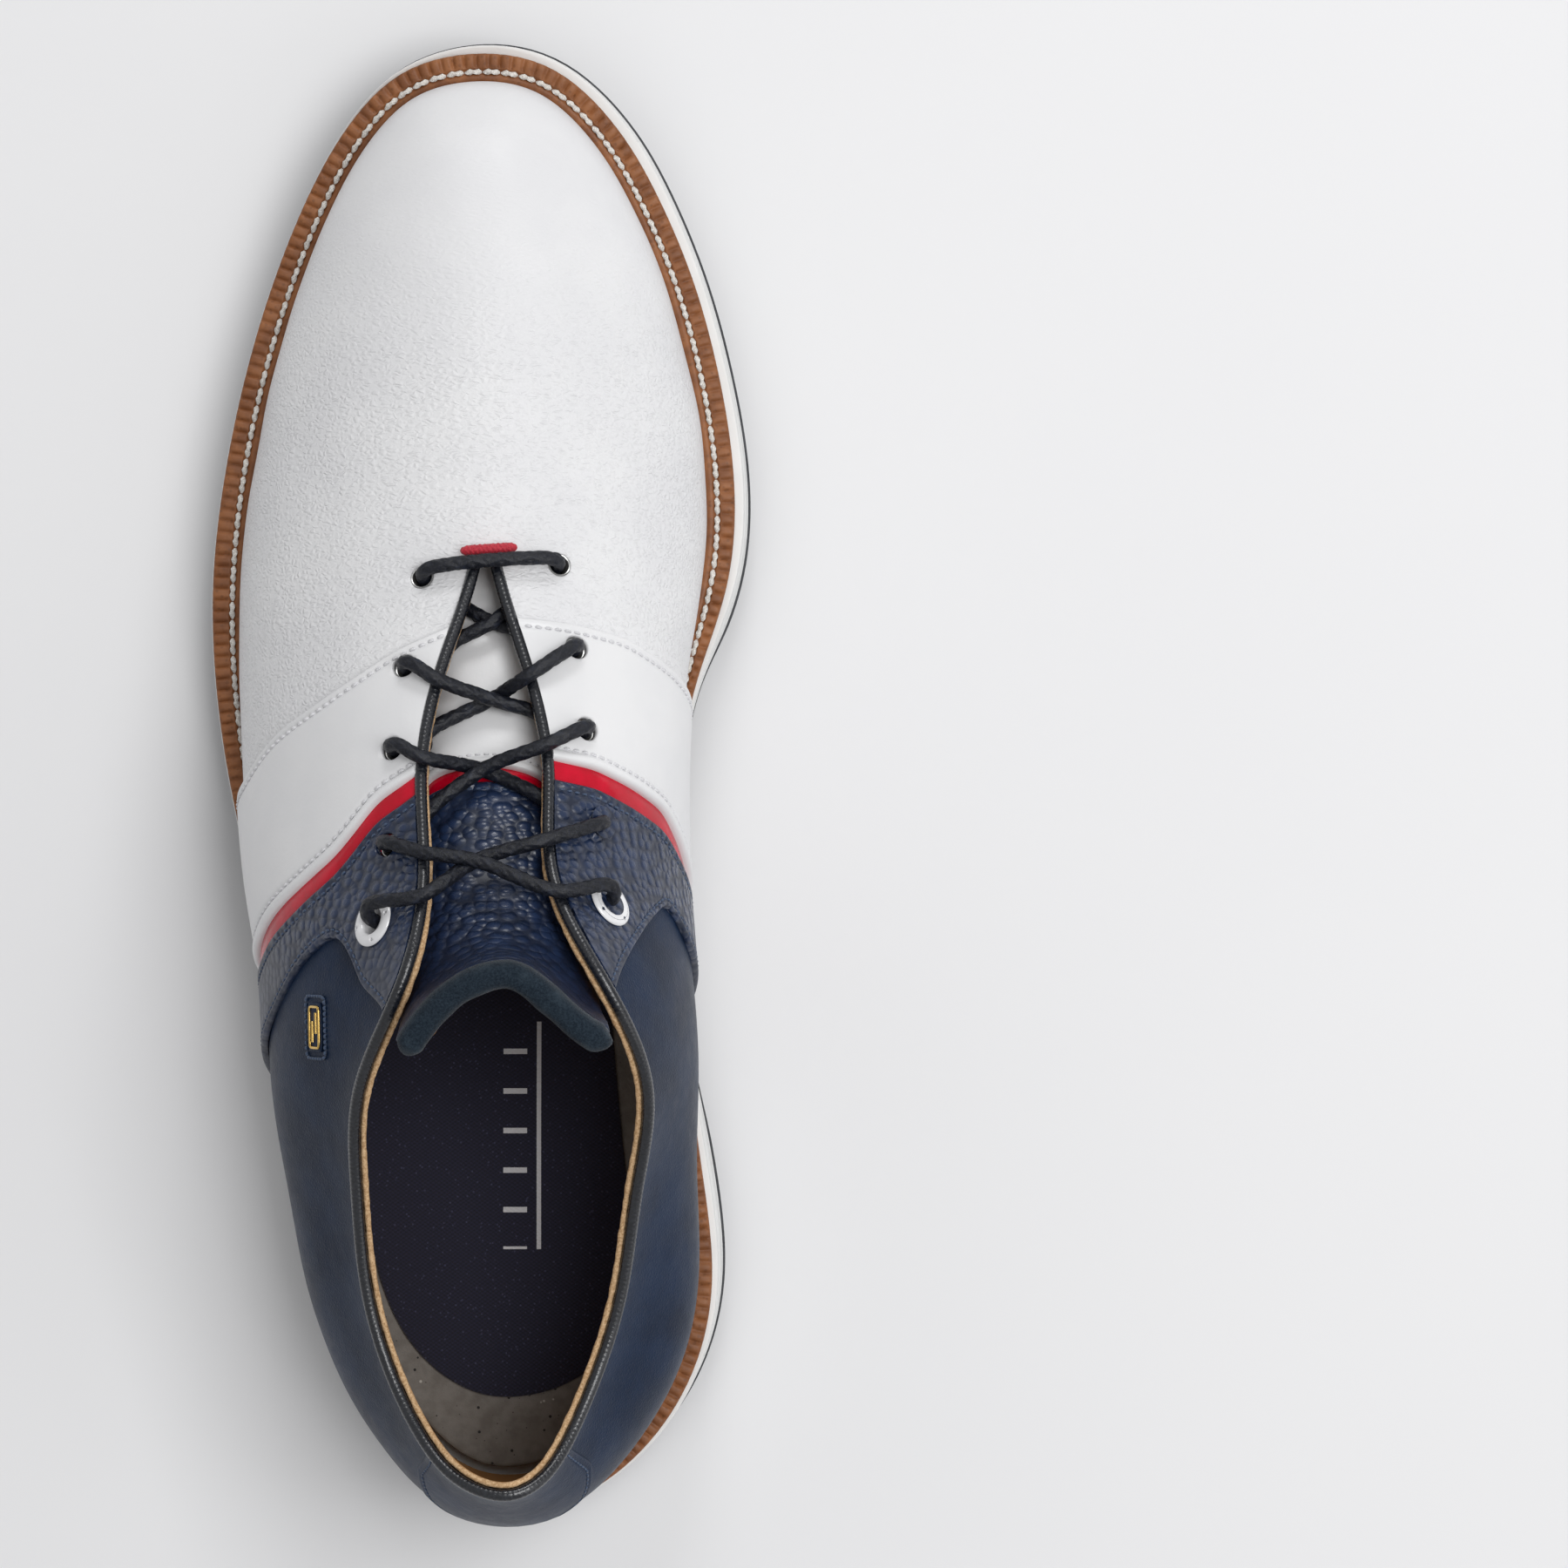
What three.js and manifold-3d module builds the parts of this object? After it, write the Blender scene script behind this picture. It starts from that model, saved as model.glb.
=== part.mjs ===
// A left golf shoe, cut and closed as a shoemaker would: a last gives one smooth surface, and the
// leather panels, linings and stiffeners are layers on it. Millimetres, +Z up, the toe towards -Y,
// the outer (lateral) side towards +X, standing on its cleats at z = 0.
import * as THREE from "three";
import { mergeVertices } from "three/addons/utils/BufferGeometryUtils.js";
import Module from "manifold-3d";

const wasm = await Module();
wasm.setup();

// ---- Driving dimensions ----

const GAP = 0.3; // clearance between pieces that touch on the real shoe
const CLEAT_HEIGHT = 5;
const OUTSOLE_THICK = 2.7;
const OUTSOLE_EDGE = 0.5; // how far the outsole shows outside the midsole
const MIDSOLE_FLARE = 0.8;
const FOREFOOT_HEIGHT = 20.1; // ground to the top of the welt, under the ball of the foot
const HEEL_RISE = 9.5;
const HEEL_RAMP = [-30, 80];
const TOE_SPRING = 8.5;
const TOE_SPRING_START = -95;
const TOE_TIP = -148;
const ARCH_LIFT = 3.5;
const ARCH = [-18, 8, 52, 78]; // y where the waist lifts, is high, and comes down again

const WELT_THICK = 3;
const WELT_INSIDE = 1.2; // how far the welt reaches under the upper
const BOARD_THICK = 1.8;
const FILLER_THICK = 1.2;
const FOAM_THICK = 4.5;
const COVER_THICK = 0.8;
const BOARD_INSET = 5;
const FOOTBED_INSET = 5.3;
const COVER_INSET = 9.5;
const COVER_HEEL = { inset: 10, start: 15 }; // extra inset behind this station, which rounds the rear end

const PANEL = { inner: -1.2, outer: 0 }; // leather layers, measured out from the last's surface
const OVERLAY = { inner: 0.35, outer: 1.45 };
const TAB = { inner: 1, outer: 1.9 };
const STIFFENER = { inner: -2.4, outer: -1.8 };
const LINING_LOW = { inner: -3.8, outer: -2.9 };
const LINING_TOP = { inner: -2.7, outer: -1.9 };
const EDGE_V = 0.965; // where panels stop short of the rolled bead
const BEAD_RADIUS = 1.2;
const UNDERLAP = 5; // how far a panel reaches under its neighbour
const STRIP_WIDTH = 3.6;

const HOLE_RADIUS = 2.95;
const SMALL_EYELET = { bore: 2.25, barrel: 2.6, flange: 3.7, flangeThick: 0.6 };
const TOP_EYELET = { bore: 2.6, barrel: 3.05, flange: 5.1, hole: 3.4 };
const LACE_RADIUS = 1.35;
const AGLET_RADIUS = 1.5;
const AGLET_LENGTH = 20;

const CLEAT_RADIUS = 11;
const CLEAT_LEGS = 6;
const STEM_RADIUS = 3.6;
const CUP_RADIUS = 7.5;
const CUP_DEPTH = 3.6;
const CLEAT_SPOTS = [
  [31, -78],
  [38, -40],
  [-3, -99],
  [-34, -72],
  [-33, -34],
  [17, 98],
  [-27, 100],
];
const LUG_SPOTS = [
  [8, -68],
  [-14, -50],
  [14, -38],
  [-4, -24],
  [-12, -80],
  [-6, 84],
  [-5, 126],
  [-19, 122],
  [8, 122],
];
const LUG_SIZE = [11, 7];

// Stations of the last, from the toe tip round to the back of the heel. A rib runs up each one from
// the feather line, where the upper meets the welt, to the throat or the collar.
// foot x, y | top x, y, z | flare, rise at the foot | reach, drop at the top | welt width, sole edge
const VAMP_POLE = [-3, -100, 55.5];
const TOE = [-1.5, -141.4, ...VAMP_POLE, 1, 15, 24, 3.8, 5.8, 2];
const LATERAL = [
  [11.4, -138.6, ...VAMP_POLE, 1.2, 15, 24, 3.5, 5.8, 1.2],
  [21, -130, ...VAMP_POLE, 1.4, 15, 23.5, 2.9, 5.8, 0.7],
  [28.6, -117.5, ...VAMP_POLE, 1.6, 15.5, 23, 1.8, 5.9, 0.4],
  [35.9, -100, ...VAMP_POLE, 1.8, 16, 22.5, 0, 6, 0.4],
  [41.9, -80, -3.3, -80, 58.7, 2, 17.5, 23.5, 0, 6, 0.4],
  [45.9, -60, -3.7, -60, 63, 2.2, 19, 24, 0, 6.1, 0.4],
  [47.9, -40, -1.9, -40, 69.3, 3, 21, 23, 1, 6.3, 0.4],
  [47.6, -20, 4.1, -20, 77.3, 5, 23, 19, 3, 6.1, 0.4],
  [44.9, 0, 7.3, 0, 85.5, 10, 25, 15, 6, 5.9, 0.4],
  [40.8, 20, 6.2, 20, 95.5, 17, 26, 12, 10, 5.7, 0.4],
  [37.6, 40, 9.9, 40, 104.5, 15.5, 26, 9, 16, 5.6, 0.4],
  [34.9, 60, 18.4, 60, 95.5, 16.5, 24, 6, 20, 5.6, 0.4],
  [32.2, 80, 19.9, 80, 84.5, 14.5, 22, 4.5, 18, 5.6, 0.4],
  [29.2, 100, 18.4, 100, 78.5, 13, 20, 4, 16, 5.6, 0.4],
  [23.5, 118, 13.2, 118, 78, 12.5, 20, 3.5, 16, 5.4, 0.4],
  [15, 132.5, 5.5, 131.5, 82.5, 12, 20, 3, 16, 5.2, 0.4],
  [4.5, 142.3, -2, 137.6, 87, 11.5, 20, 3, 16, 5, 0.4],
];
const HEEL = [-7, 145.5, -9.5, 139.2, 89, 11, 20, 3, 16, 4.6, 0.4];
const MEDIAL = [
  [-13.8, -138.6, ...VAMP_POLE, 1.2, 15, 24, 3.5, 5.8, 2],
  [-23.8, -129.5, ...VAMP_POLE, 1.4, 15, 23.5, 2.9, 5.8, 2],
  [-31.3, -117.5, ...VAMP_POLE, 1.6, 15.5, 23, 1.8, 5.8, 1.9],
  [-38.8, -100, ...VAMP_POLE, 1.8, 16, 22.5, 0, 5.8, 1.7],
  [-44.2, -80, -3.3, -80, 58.7, 2, 17.5, 23.5, 0, 5.8, 1.7],
  [-47, -60, -3.7, -60, 63, 2.2, 19, 24, 0, 5.8, 1.9],
  [-46, -40, -6.7, -40, 69.3, 3.5, 21, 23, 1, 5.4, 1.5],
  [-40.8, -20, -13.2, -20, 76.9, 10, 23, 19, 3, 4.4, 0.6],
  [-37.6, 0, -17.4, 0, 85, 15, 25, 15, 6, 4, 0.4],
  [-36.6, 20, -18.8, 20, 95, 18, 26, 12, 10, 4, 0.4],
  [-37, 40, -29, 40, 103.5, 17.5, 26, 9, 16, 4.4, 0.4],
  [-38.6, 60, -36.7, 60, 94.5, 14.5, 24, 6, 20, 5, 0.6],
  [-40.6, 80, -34.6, 80, 84.5, 12.5, 22, 4.5, 18, 5.6, 1.2],
  [-42.6, 100, -31.5, 100, 78.5, 10.5, 20, 4, 16, 5.8, 1.2],
  [-40, 117, -26.5, 117, 78, 10.5, 20, 3.5, 16, 5.8, 1],
  [-32, 131.5, -20.5, 130.5, 82.5, 11, 20, 3, 16, 5.6, 0.8],
  [-20, 142, -15.5, 136.8, 87, 11, 20, 3, 16, 5, 0.5],
];
const POLE_STATION = 4; // ribs up to this station all meet at the pole of the vamp
const THROAT_APEX = -43.5;

const TOE_PUFF = { reach: 3.2, low: 0.02, high: 0.52 }; // stations each side of the toe tip, and v
const COUNTER_HIGH = 0.42;

// Seams as [v, y] points, v from 0 at the welt to 1 at the throat or collar.
const SADDLE_FRONT = {
  lateral: [[0, 10], [0.3, 0.6], [0.46, -7.9], [0.62, -14], [0.76, -20], [0.85, -24.3], [1, -29.3]],
  medial: [[0, -8], [0.33, -18.1], [0.45, -21.6], [0.57, -24.7], [0.65, -27.1], [0.84, -29.6], [1, -30.8]],
};
const SADDLE_REAR = {
  lateral: [[0, 45], [0.3, 33.6], [0.42, 27.8], [0.54, 22.5], [0.67, 16.2], [0.83, 5.5], [1, -0.3]],
  medial: [[0, 34], [0.3, 18.9], [0.5, 7.3], [0.66, 2.8], [0.82, -0.9], [1, -2.8]],
};
const EYESTAY_REAR = {
  lateral: [[0, 68], [0.36, 49.7], [0.45, 43.2], [0.53, 37.3], [0.63, 32.4], [0.68, 31], [0.72, 34], [0.8, 40.9], [1, 46]],
  medial: [[0, 56], [0.3, 38.6], [0.41, 32.6], [0.46, 28.4], [0.52, 25.4], [0.65, 29.5], [0.82, 35.8], [1, 42]],
};
// Hole centres in plan, front to back.
const LACE_HOLES = {
  lateral: [[8.3, -39], [10.9, -20.9], [12.7, -4.8], [13.3, 13.8]],
  medial: [[-18.8, -41.5], [-21.9, -24.6], [-24, -8.6], [-26.5, 9.7]],
};
const TOP_HOLES = { lateral: [15, 28.7], medial: [-28.3, 25.4] };

// The tongue's crown line and its section: x, y, z, half width, depth of the arch.
const TONGUE = [
  [-4.1, -47, 57.8, 8, 3],
  [-4.2, -40, 60.9, 8.2, 3.5],
  [-4.6, -20, 70.2, 10.4, 4.5],
  [-5, 0, 79, 13.3, 6],
  [-5.8, 15, 86.6, 15.6, 8.5],
  [-7.3, 26, 94.6, 17.6, 12],
  [-9.2, 32, 102.4, 19.8, 15.5],
  [-10.4, 34.7, 111.5, 21.8, 17.2],
  [-10.5, 35.6, 117, 22.2, 17.6],
];
// Towards its top the tongue's section opens from an arch into a bell, more so on the medial side.
const TONGUE_WINGS = {
  rows: [5, 7],
  lateral: { flare: 0.3, depth: 1.05 },
  medial: { flare: 1, depth: 0.85 },
};
const TONGUE_LAYERS = {
  face: { inner: -1.1, outer: 0 },
  accent: { inner: -2.2, outer: -1.4 },
  foam: { inner: -6.5, outer: -2.5 },
  lining: { inner: -7.6, outer: -6.8 },
  binding: { inner: -7, outer: 0.5 },
};

// The lace's centreline, from its lateral tip inside the toe, up through the lateral top eyelet,
// criss-cross down to the bar over the vamp, and back up to the medial top eyelet and inside.
const LACE_ROUTE = [
  [7.2, -94, 28.8],
  [10.2, -66, 27.9],
  [12.6, -36, 28],
  [13.6, -8, 28.9],
  [14.4, 16, 31.8],
  [13.6, 28, 37.5],
  [12.4, 31, 50],
  [11.9, 31, 68],
  [11.7, 30.6, 85],
  [12.6, 29.9, 89.4],
  [15.1, 28.6, 91.9],
  [17, 27, 94.4],
  [16.5, 24.9, 96.1],
  [6.3, 23.1, 100.9],
  [-4, 16.5, 94.5],
  [-17.6, 12.4, 94.1],
  [-27.5, 9.4, 86.9],
  [-28.1, 9.2, 84.6],
  [-25.1, 10.2, 80.6],
  [-22.2, 10.5, 78.5],
  [-19.8, 8.6, 79.1],
  [-17.5, 5.4, 82.4],
  [-4.4, -0.9, 80.3],
  [7.2, -3.5, 87.3],
  [12, -5.9, 85.8],
  [13.4, -5.7, 83.9],
  [11.8, -4.2, 79.2],
  [9.7, -3.5, 76.4],
  [7.2, -5.3, 76.1],
  [6.7, -8, 77.1],
  [-5.8, -14.8, 74.2],
  [-13.4, -19.4, 80.4],
  [-21.6, -24.9, 76.6],
  [-22.7, -25.4, 74.5],
  [-21, -23.9, 69.9],
  [-18.8, -22.9, 67.2],
  [-16, -24.3, 67.1],
  [-10.3, -28.5, 68.6],
  [-5.7, -30, 67.3],
  [4.1, -35.5, 63.3],
  [6.3, -36.9, 63.1],
  [7.7, -38.3, 66],
  [7.9, -39.8, 69.4],
  [6.2, -40.7, 70.9],
  [-5, -42.1, 71.7],
  [-17, -42.6, 69.4],
  [-18.6, -42.1, 67.6],
  [-18, -40.8, 64.1],
  [-16.4, -39.4, 61.3],
  [-14.4, -37.7, 61.8],
  [-5.7, -30, 70.4],
  [2.4, -25.6, 70],
  [5.8, -20.6, 69.6],
  [8.5, -19.1, 70.2],
  [10.2, -20.1, 73.1],
  [11.2, -21.9, 77.9],
  [9.7, -21.8, 79.7],
  [4.5, -18.6, 81.2],
  [-5.8, -14.8, 77.3],
  [-15.6, -11.5, 75.3],
  [-17.6, -8.3, 73.9],
  [-20.5, -7.1, 73.5],
  [-22.9, -7.9, 75.9],
  [-25, -9.4, 80.4],
  [-24, -9.2, 82.5],
  [-16.8, -5.8, 85.9],
  [-4.4, -0.9, 83.4],
  [6.9, 8.5, 84.3],
  [7.4, 12.6, 82.7],
  [9.6, 14.8, 82.9],
  [12.1, 14.3, 85.4],
  [14.5, 13.1, 89.8],
  [13.4, 13, 91.9],
  [6.4, 14.9, 95.9],
  [-4, 16.5, 97.5],
  [-19.5, 22.2, 99.8],
  [-29.6, 21.3, 93.2],
  [-30.3, 23.2, 91.3],
  [-28.4, 25.3, 89.1],
  [-25.9, 27.2, 87.1],
  [-25.2, 29, 81],
  [-26.6, 30.5, 66],
  [-27, 30.5, 50],
  [-25.6, 28, 37.5],
  [-24.2, 16, 31.8],
  [-22.4, -8, 28.9],
  [-20.6, -36, 28],
  [-18, -66, 27.9],
  [-15, -94, 28.8],
];
const BAR_TACK = { x: -5, y: -44.4, length: 11.6, radius: 0.9 };
const BADGE = { x: 28.3, y: 49.3, width: 6, length: 10, thick: 0.6 };

// ---- The last ----

const RING = [TOE, ...LATERAL, HEEL, ...[...MEDIAL].reverse()];
const STATIONS = RING.length;
const SIDES = ["lateral", "medial"];
const BACK = LATERAL.length + 1; // station number of the back of the heel

const wrap = (i) => ((i % STATIONS) + STATIONS) % STATIONS;
const sum = (list) => list.reduce((a, b) => a + b, 0);
const clamp = (x, low, high) => Math.min(high, Math.max(low, x));

function smoothstep(a, b, x) {
  const t = clamp((x - a) / (b - a), 0, 1);
  return t * t * (3 - 2 * t);
}

// Control rows of a closed uniform cubic B-spline that passes through every station.
const CONTROLS = (() => {
  let rows = RING.map((row) => [...row]);
  for (let pass = 0; pass < 40; pass++) {
    rows = rows.map((row, i) =>
      row.map((c, j) => {
        const reached = (rows[wrap(i - 1)][j] + 4 * c + rows[wrap(i + 1)][j]) / 6;
        return c + RING[i][j] - reached;
      }),
    );
  }
  return rows;
})();

function stationAt(u) {
  const i = Math.floor(u);
  const t = u - i;
  const weights = [
    (1 - t) ** 3 / 6,
    (3 * t ** 3 - 6 * t * t + 4) / 6,
    (-3 * t ** 3 + 3 * t * t + 3 * t + 1) / 6,
    t ** 3 / 6,
  ];
  return RING[0].map((_, j) => sum(weights.map((w, n) => w * CONTROLS[wrap(i - 1 + n)][j])));
}

// k counts stations from the toe tip to the back of the heel along either side.
const sign = (side) => (side === "lateral" ? 1 : -1);
const stationOn = (side, k) => stationAt(side === "lateral" ? k : STATIONS - k);

const springAt = (y) =>
  y < TOE_SPRING_START
    ? TOE_SPRING * ((TOE_SPRING_START - y) / (TOE_SPRING_START - TOE_TIP)) ** 2
    : 0;
const archAt = (y) => ARCH_LIFT * smoothstep(ARCH[0], ARCH[1], y) * (1 - smoothstep(ARCH[2], ARCH[3], y));
const featherZ = (y) => FOREFOOT_HEIGHT + springAt(y) + HEEL_RISE * smoothstep(...HEEL_RAMP, y);
const weltTop = (y) => featherZ(y) - GAP;
const weltBase = (y) => weltTop(y) - WELT_THICK;
const midsoleTop = (y) => weltBase(y) - GAP;
const groundSide = (y) => CLEAT_HEIGHT + springAt(y) + archAt(y);
const midsoleBase = (y) => groundSide(y) + OUTSOLE_THICK + GAP;

// A point of the last: up the rib at k, from the feather line (v = 0) to the throat or collar (v = 1).
function onLast(side, k, v) {
  const [fx, fy, px, py, pz, flare, rise, reach, drop] = stationOn(side, k);
  const [tx, ty, tz] = Math.abs(k) <= POLE_STATION || py < VAMP_POLE[1] ? VAMP_POLE : [px, py, pz];
  const out = new THREE.Vector2(fx - tx, fy - ty).normalize();
  const foot = new THREE.Vector3(fx, fy, featherZ(fy));
  const top = new THREE.Vector3(tx, ty, tz);
  return new THREE.CubicBezierCurve3(
    foot,
    new THREE.Vector3(fx + out.x * flare, fy + out.y * flare, foot.z + rise),
    new THREE.Vector3(tx + out.x * reach, ty + out.y * reach, tz - drop),
    top,
  ).getPoint(v);
}

function normalOn(side, k, v) {
  const step = 0.01;
  const low = clamp(v, step, 1 - step);
  const along = onLast(side, k + step, low).sub(onLast(side, k - step, low));
  const up = onLast(side, k, low + step).sub(onLast(side, k, low - step));
  return along.cross(up).multiplyScalar(sign(side)).normalize();
}

function bisect(low, high, below) {
  for (let i = 0; i < 40; i++) {
    const middle = (low + high) / 2;
    if (below(middle)) low = middle;
    else high = middle;
  }
  return (low + high) / 2;
}

const stationForY = (side, y, v) => bisect(3.5, 15, (k) => onLast(side, k, v).y < y);

// The place on the upper half of the last that lies over a point of the plan.
function lastOver(side, x, y) {
  const v = bisect(0.3, 1, (t) => sign(side) * onLast(side, stationForY(side, y, t), t).x > sign(side) * x);
  return { side, k: stationForY(side, y, v), v };
}

function linearAt(points, t) {
  const i = clamp(points.findIndex((p) => p[0] >= t), 1, points.length - 1);
  const [a, b] = [points[i - 1], points[i]];
  const f = (t - a[0]) / (b[0] - a[0]);
  return a[1] + f * (b[1] - a[1]);
}

// ---- Solids ----

// A sheet of points on a grid, welded where they coincide. at(i, j) gives a point and its v, or null.
function sheet(rows, columns, at) {
  const points = [];
  const heights = [];
  const known = new Map();
  const indexOf = (i, j) => {
    const found = at(i, j);
    if (!found) return -1;
    const key = found.point.toArray().map((c) => Math.round(c * 1e3)).join();
    if (!known.has(key)) {
      known.set(key, points.length);
      points.push(found.point);
      heights.push(found.v);
    }
    return known.get(key);
  };
  const ids = Array.from({ length: rows + 1 }, (_, i) =>
    Array.from({ length: columns + 1 }, (_, j) => indexOf(i, j)),
  );
  const triangles = [];
  for (let i = 0; i < rows; i++) {
    for (let j = 0; j < columns; j++) {
      const [a, b, c, d] = [ids[i][j], ids[i + 1][j], ids[i + 1][j + 1], ids[i][j + 1]];
      for (const t of [[a, b, c], [a, c, d]]) {
        if (t.every((n) => n >= 0) && new Set(t).size === 3) triangles.push(t);
      }
    }
  }
  return { points, heights, triangles };
}

function sheetNormals({ points, triangles }) {
  const normals = points.map(() => new THREE.Vector3());
  for (const [a, b, c] of triangles) {
    const face = new THREE.Vector3()
      .subVectors(points[b], points[a])
      .cross(new THREE.Vector3().subVectors(points[c], points[a]));
    for (const n of [a, b, c]) normals[n].add(face);
  }
  return normals.map((n) => n.normalize());
}

// The closed solid between two copies of a sheet, given as points; it is turned to face outwards.
function solidBetween(outer, inner, triangles) {
  const used = new Map();
  for (const [a, b, c] of triangles) {
    for (const [p, q] of [[a, b], [b, c], [c, a]]) used.set(p + "," + q, [p, q]);
  }
  const faces = [];
  const count = outer.length;
  for (const [a, b, c] of triangles) {
    faces.push([a, b, c], [a + count, c + count, b + count]);
  }
  for (const [p, q] of used.values()) {
    if (used.has(q + "," + p)) continue;
    faces.push([q, p, p + count], [q, p + count, q + count]);
  }
  return facetSolid([...outer, ...inner], faces);
}

function facetSolid(points, faces) {
  const volume = sum(faces.map(([a, b, c]) => points[a].dot(points[b].clone().cross(points[c]))));
  const turned = volume < 0 ? faces.map(([a, b, c]) => [a, c, b]) : faces;
  const geometry = new THREE.BufferGeometry();
  geometry.setAttribute(
    "position",
    new THREE.Float32BufferAttribute(points.flatMap((p) => p.toArray()), 3),
  );
  geometry.setIndex(turned.flat());
  return geometry;
}

function shell(surface, layerAt) {
  const normals = sheetNormals(surface);
  const facing = sum(surface.points.map((p, i) => normals[i].x * (p.x + 5) + normals[i].z * (p.z - 40)));
  const turn = facing < 0 ? -1 : 1;
  const offset = (which) =>
    surface.points.map((p, i) => {
      const moved = p.clone().addScaledVector(normals[i], turn * layerAt(surface.heights[i])[which]);
      moved.z = Math.max(moved.z, featherZ(moved.y));
      return moved;
    });
  return solidBetween(offset("outer"), offset("inner"), surface.triangles);
}

function solidOf(geometry) {
  const bare = geometry.clone();
  bare.deleteAttribute("normal");
  bare.deleteAttribute("uv");
  const merged = mergeVertices(bare, 1e-4);
  return new wasm.Manifold(
    new wasm.Mesh({
      numProp: 3,
      vertProperties: new Float32Array(merged.attributes.position.array),
      triVerts: new Uint32Array(merged.index.array),
    }),
  );
}

function geometryOf(solid) {
  const mesh = solid.getMesh();
  const geometry = new THREE.BufferGeometry();
  geometry.setAttribute("position", new THREE.BufferAttribute(mesh.vertProperties, 3));
  geometry.setIndex(new THREE.BufferAttribute(mesh.triVerts, 1));
  return geometry;
}

function cut(geometry, tools) {
  const whole = tools.reduce((solid, tool) => solid.subtract(solidOf(tool)), solidOf(geometry));
  return geometryOf(whole);
}

function join(pieces) {
  return geometryOf(pieces.map(solidOf).reduce((a, b) => a.add(b)));
}

// A round bar of a radius between two heights along a point's normal.
function plug(point, normal, radius, low, high, sides = 12) {
  const bar = new THREE.CylinderGeometry(radius, radius, high - low, sides);
  bar.translate(0, (low + high) / 2, 0);
  return placeOn(bar, point, normal);
}

// Turns a geometry made about +Y so that its axis lies along a normal at a point.
function placeOn(geometry, point, normal) {
  const turn = new THREE.Quaternion().setFromUnitVectors(new THREE.Vector3(0, 1, 0), normal);
  geometry.applyQuaternion(turn);
  return geometry.translate(...point.toArray());
}

function upright(geometry, x, y) {
  return placeOn(geometry, new THREE.Vector3(x, y, 0), new THREE.Vector3(0, 0, 1));
}

// ---- Panels of the upper ----

const COLUMNS = 8;

// A panel on one side between two seams; front and rear give the station at height v.
function panelSheet(side, front, rear, rows, low = 0, high = EDGE_V, columns = COLUMNS) {
  return sheet(rows, columns, (i, j) => {
    const v = low + ((high - low) * j) / columns;
    const k = front(v) + ((rear(v) - front(v)) * i) / rows;
    return { point: onLast(side, k, v), v };
  });
}

const seam = (side, points, shift = 0) => (v) => stationForY(side, linearAt(points[side], v) + shift, v);

// A piece that closes over the toe: ribs from one side's rear seam, round the toe, to the other's.
// Its top edge is joined along the vamp ridge as far as the throat.
function toeSheet(rearAt, frontRows, rearRows, columns) {
  const rows = frontRows + rearRows;
  const stationOf = (side, step, v) => {
    const apex = stationForY(side, THROAT_APEX, v);
    if (step <= frontRows) return (apex * step) / frontRows;
    return apex + ((rearAt(side, v) - apex) * (step - frontRows)) / rearRows;
  };
  return sheet(2 * rows, columns + 1, (i, j) => {
    const side = i < rows ? "medial" : "lateral";
    const step = Math.abs(i - rows);
    if (j <= columns) {
      const v = (EDGE_V * j) / columns;
      return { point: onLast(side, stationOf(side, step, v), v), v };
    }
    if (step > frontRows) return null;
    const point = new THREE.Vector3();
    for (const each of SIDES) point.addScaledVector(onLast(each, stationOf(each, step, 1), 1), 0.5);
    return { point, v: 1 };
  });
}

const lerpLayer = (low, high) => (v) => {
  const f = smoothstep(0.45, 0.75, v);
  return { inner: low.inner + f * (high.inner - low.inner), outer: low.outer + f * (high.outer - low.outer) };
};
const liningLayer = lerpLayer(LINING_LOW, LINING_TOP);

const holeFrames = {};
for (const side of SIDES) {
  holeFrames[side] = [...LACE_HOLES[side], TOP_HOLES[side]].map(([x, y]) => {
    const { k, v } = lastOver(side, x, y);
    return { point: onLast(side, k, v), normal: normalOn(side, k, v) };
  });
}
const holeTools = (sides) =>
  sides.flatMap((side) =>
    holeFrames[side].map(({ point, normal }, n) =>
      plug(point, normal, n === 4 ? TOP_EYELET.hole : HOLE_RADIUS, -8, 8),
    ),
  );

// ---- The object ----

const shoe = new THREE.Group();

const FINISHES = {
  whiteLeather: { color: 0xeceded, roughness: 0.42 },
  smoothNavy: { color: 0x213045, roughness: 0.38 },
  pebbledNavy: { color: 0x2b3c63, roughness: 0.48 },
  redPatent: { color: 0xc80028, roughness: 0.15 },
  blackBead: { color: 0x22252c, roughness: 0.25 },
  tanLeather: { color: 0xb98045, roughness: 0.6 },
  brownWelt: { color: 0x965a28, roughness: 0.5 },
  whiteSole: { color: 0xf0f0f0, roughness: 0.5 },
  charcoalRubber: { color: 0x33353a, roughness: 0.7 },
  board: { color: 0x9a8f7c, roughness: 0.9 },
  steel: { color: 0xa0a4a8, roughness: 0.35, metalness: 1 },
  cork: { color: 0x8a6a45, roughness: 0.95 },
  greyFoam: { color: 0x6b6660, roughness: 0.9 },
  darkCloth: { color: 0x12131f, roughness: 0.95 },
  stiffener: { color: 0xc8c2b4, roughness: 0.8 },
  suede: { color: 0x36424f, roughness: 0.95 },
  lace: { color: 0x1b1e2a, roughness: 0.6 },
  aglet: { color: 0x202226, roughness: 0.2 },
  whiteEnamel: { color: 0xe8e8ea, roughness: 0.3 },
  gold: { color: 0xc9a24a, roughness: 0.3, metalness: 1 },
  redThread: { color: 0xb8182c, roughness: 0.8 },
  cleatPlastic: { color: 0xd8d8da, roughness: 0.5 },
};

function add(name, finish, geometry) {
  const flat = geometry.index ? geometry.toNonIndexed() : geometry;
  flat.computeVertexNormals();
  const mesh = new THREE.Mesh(flat, new THREE.MeshStandardMaterial(FINISHES[finish]));
  mesh.name = name;
  shoe.add(mesh);
}

// ---- Sole ----

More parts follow.
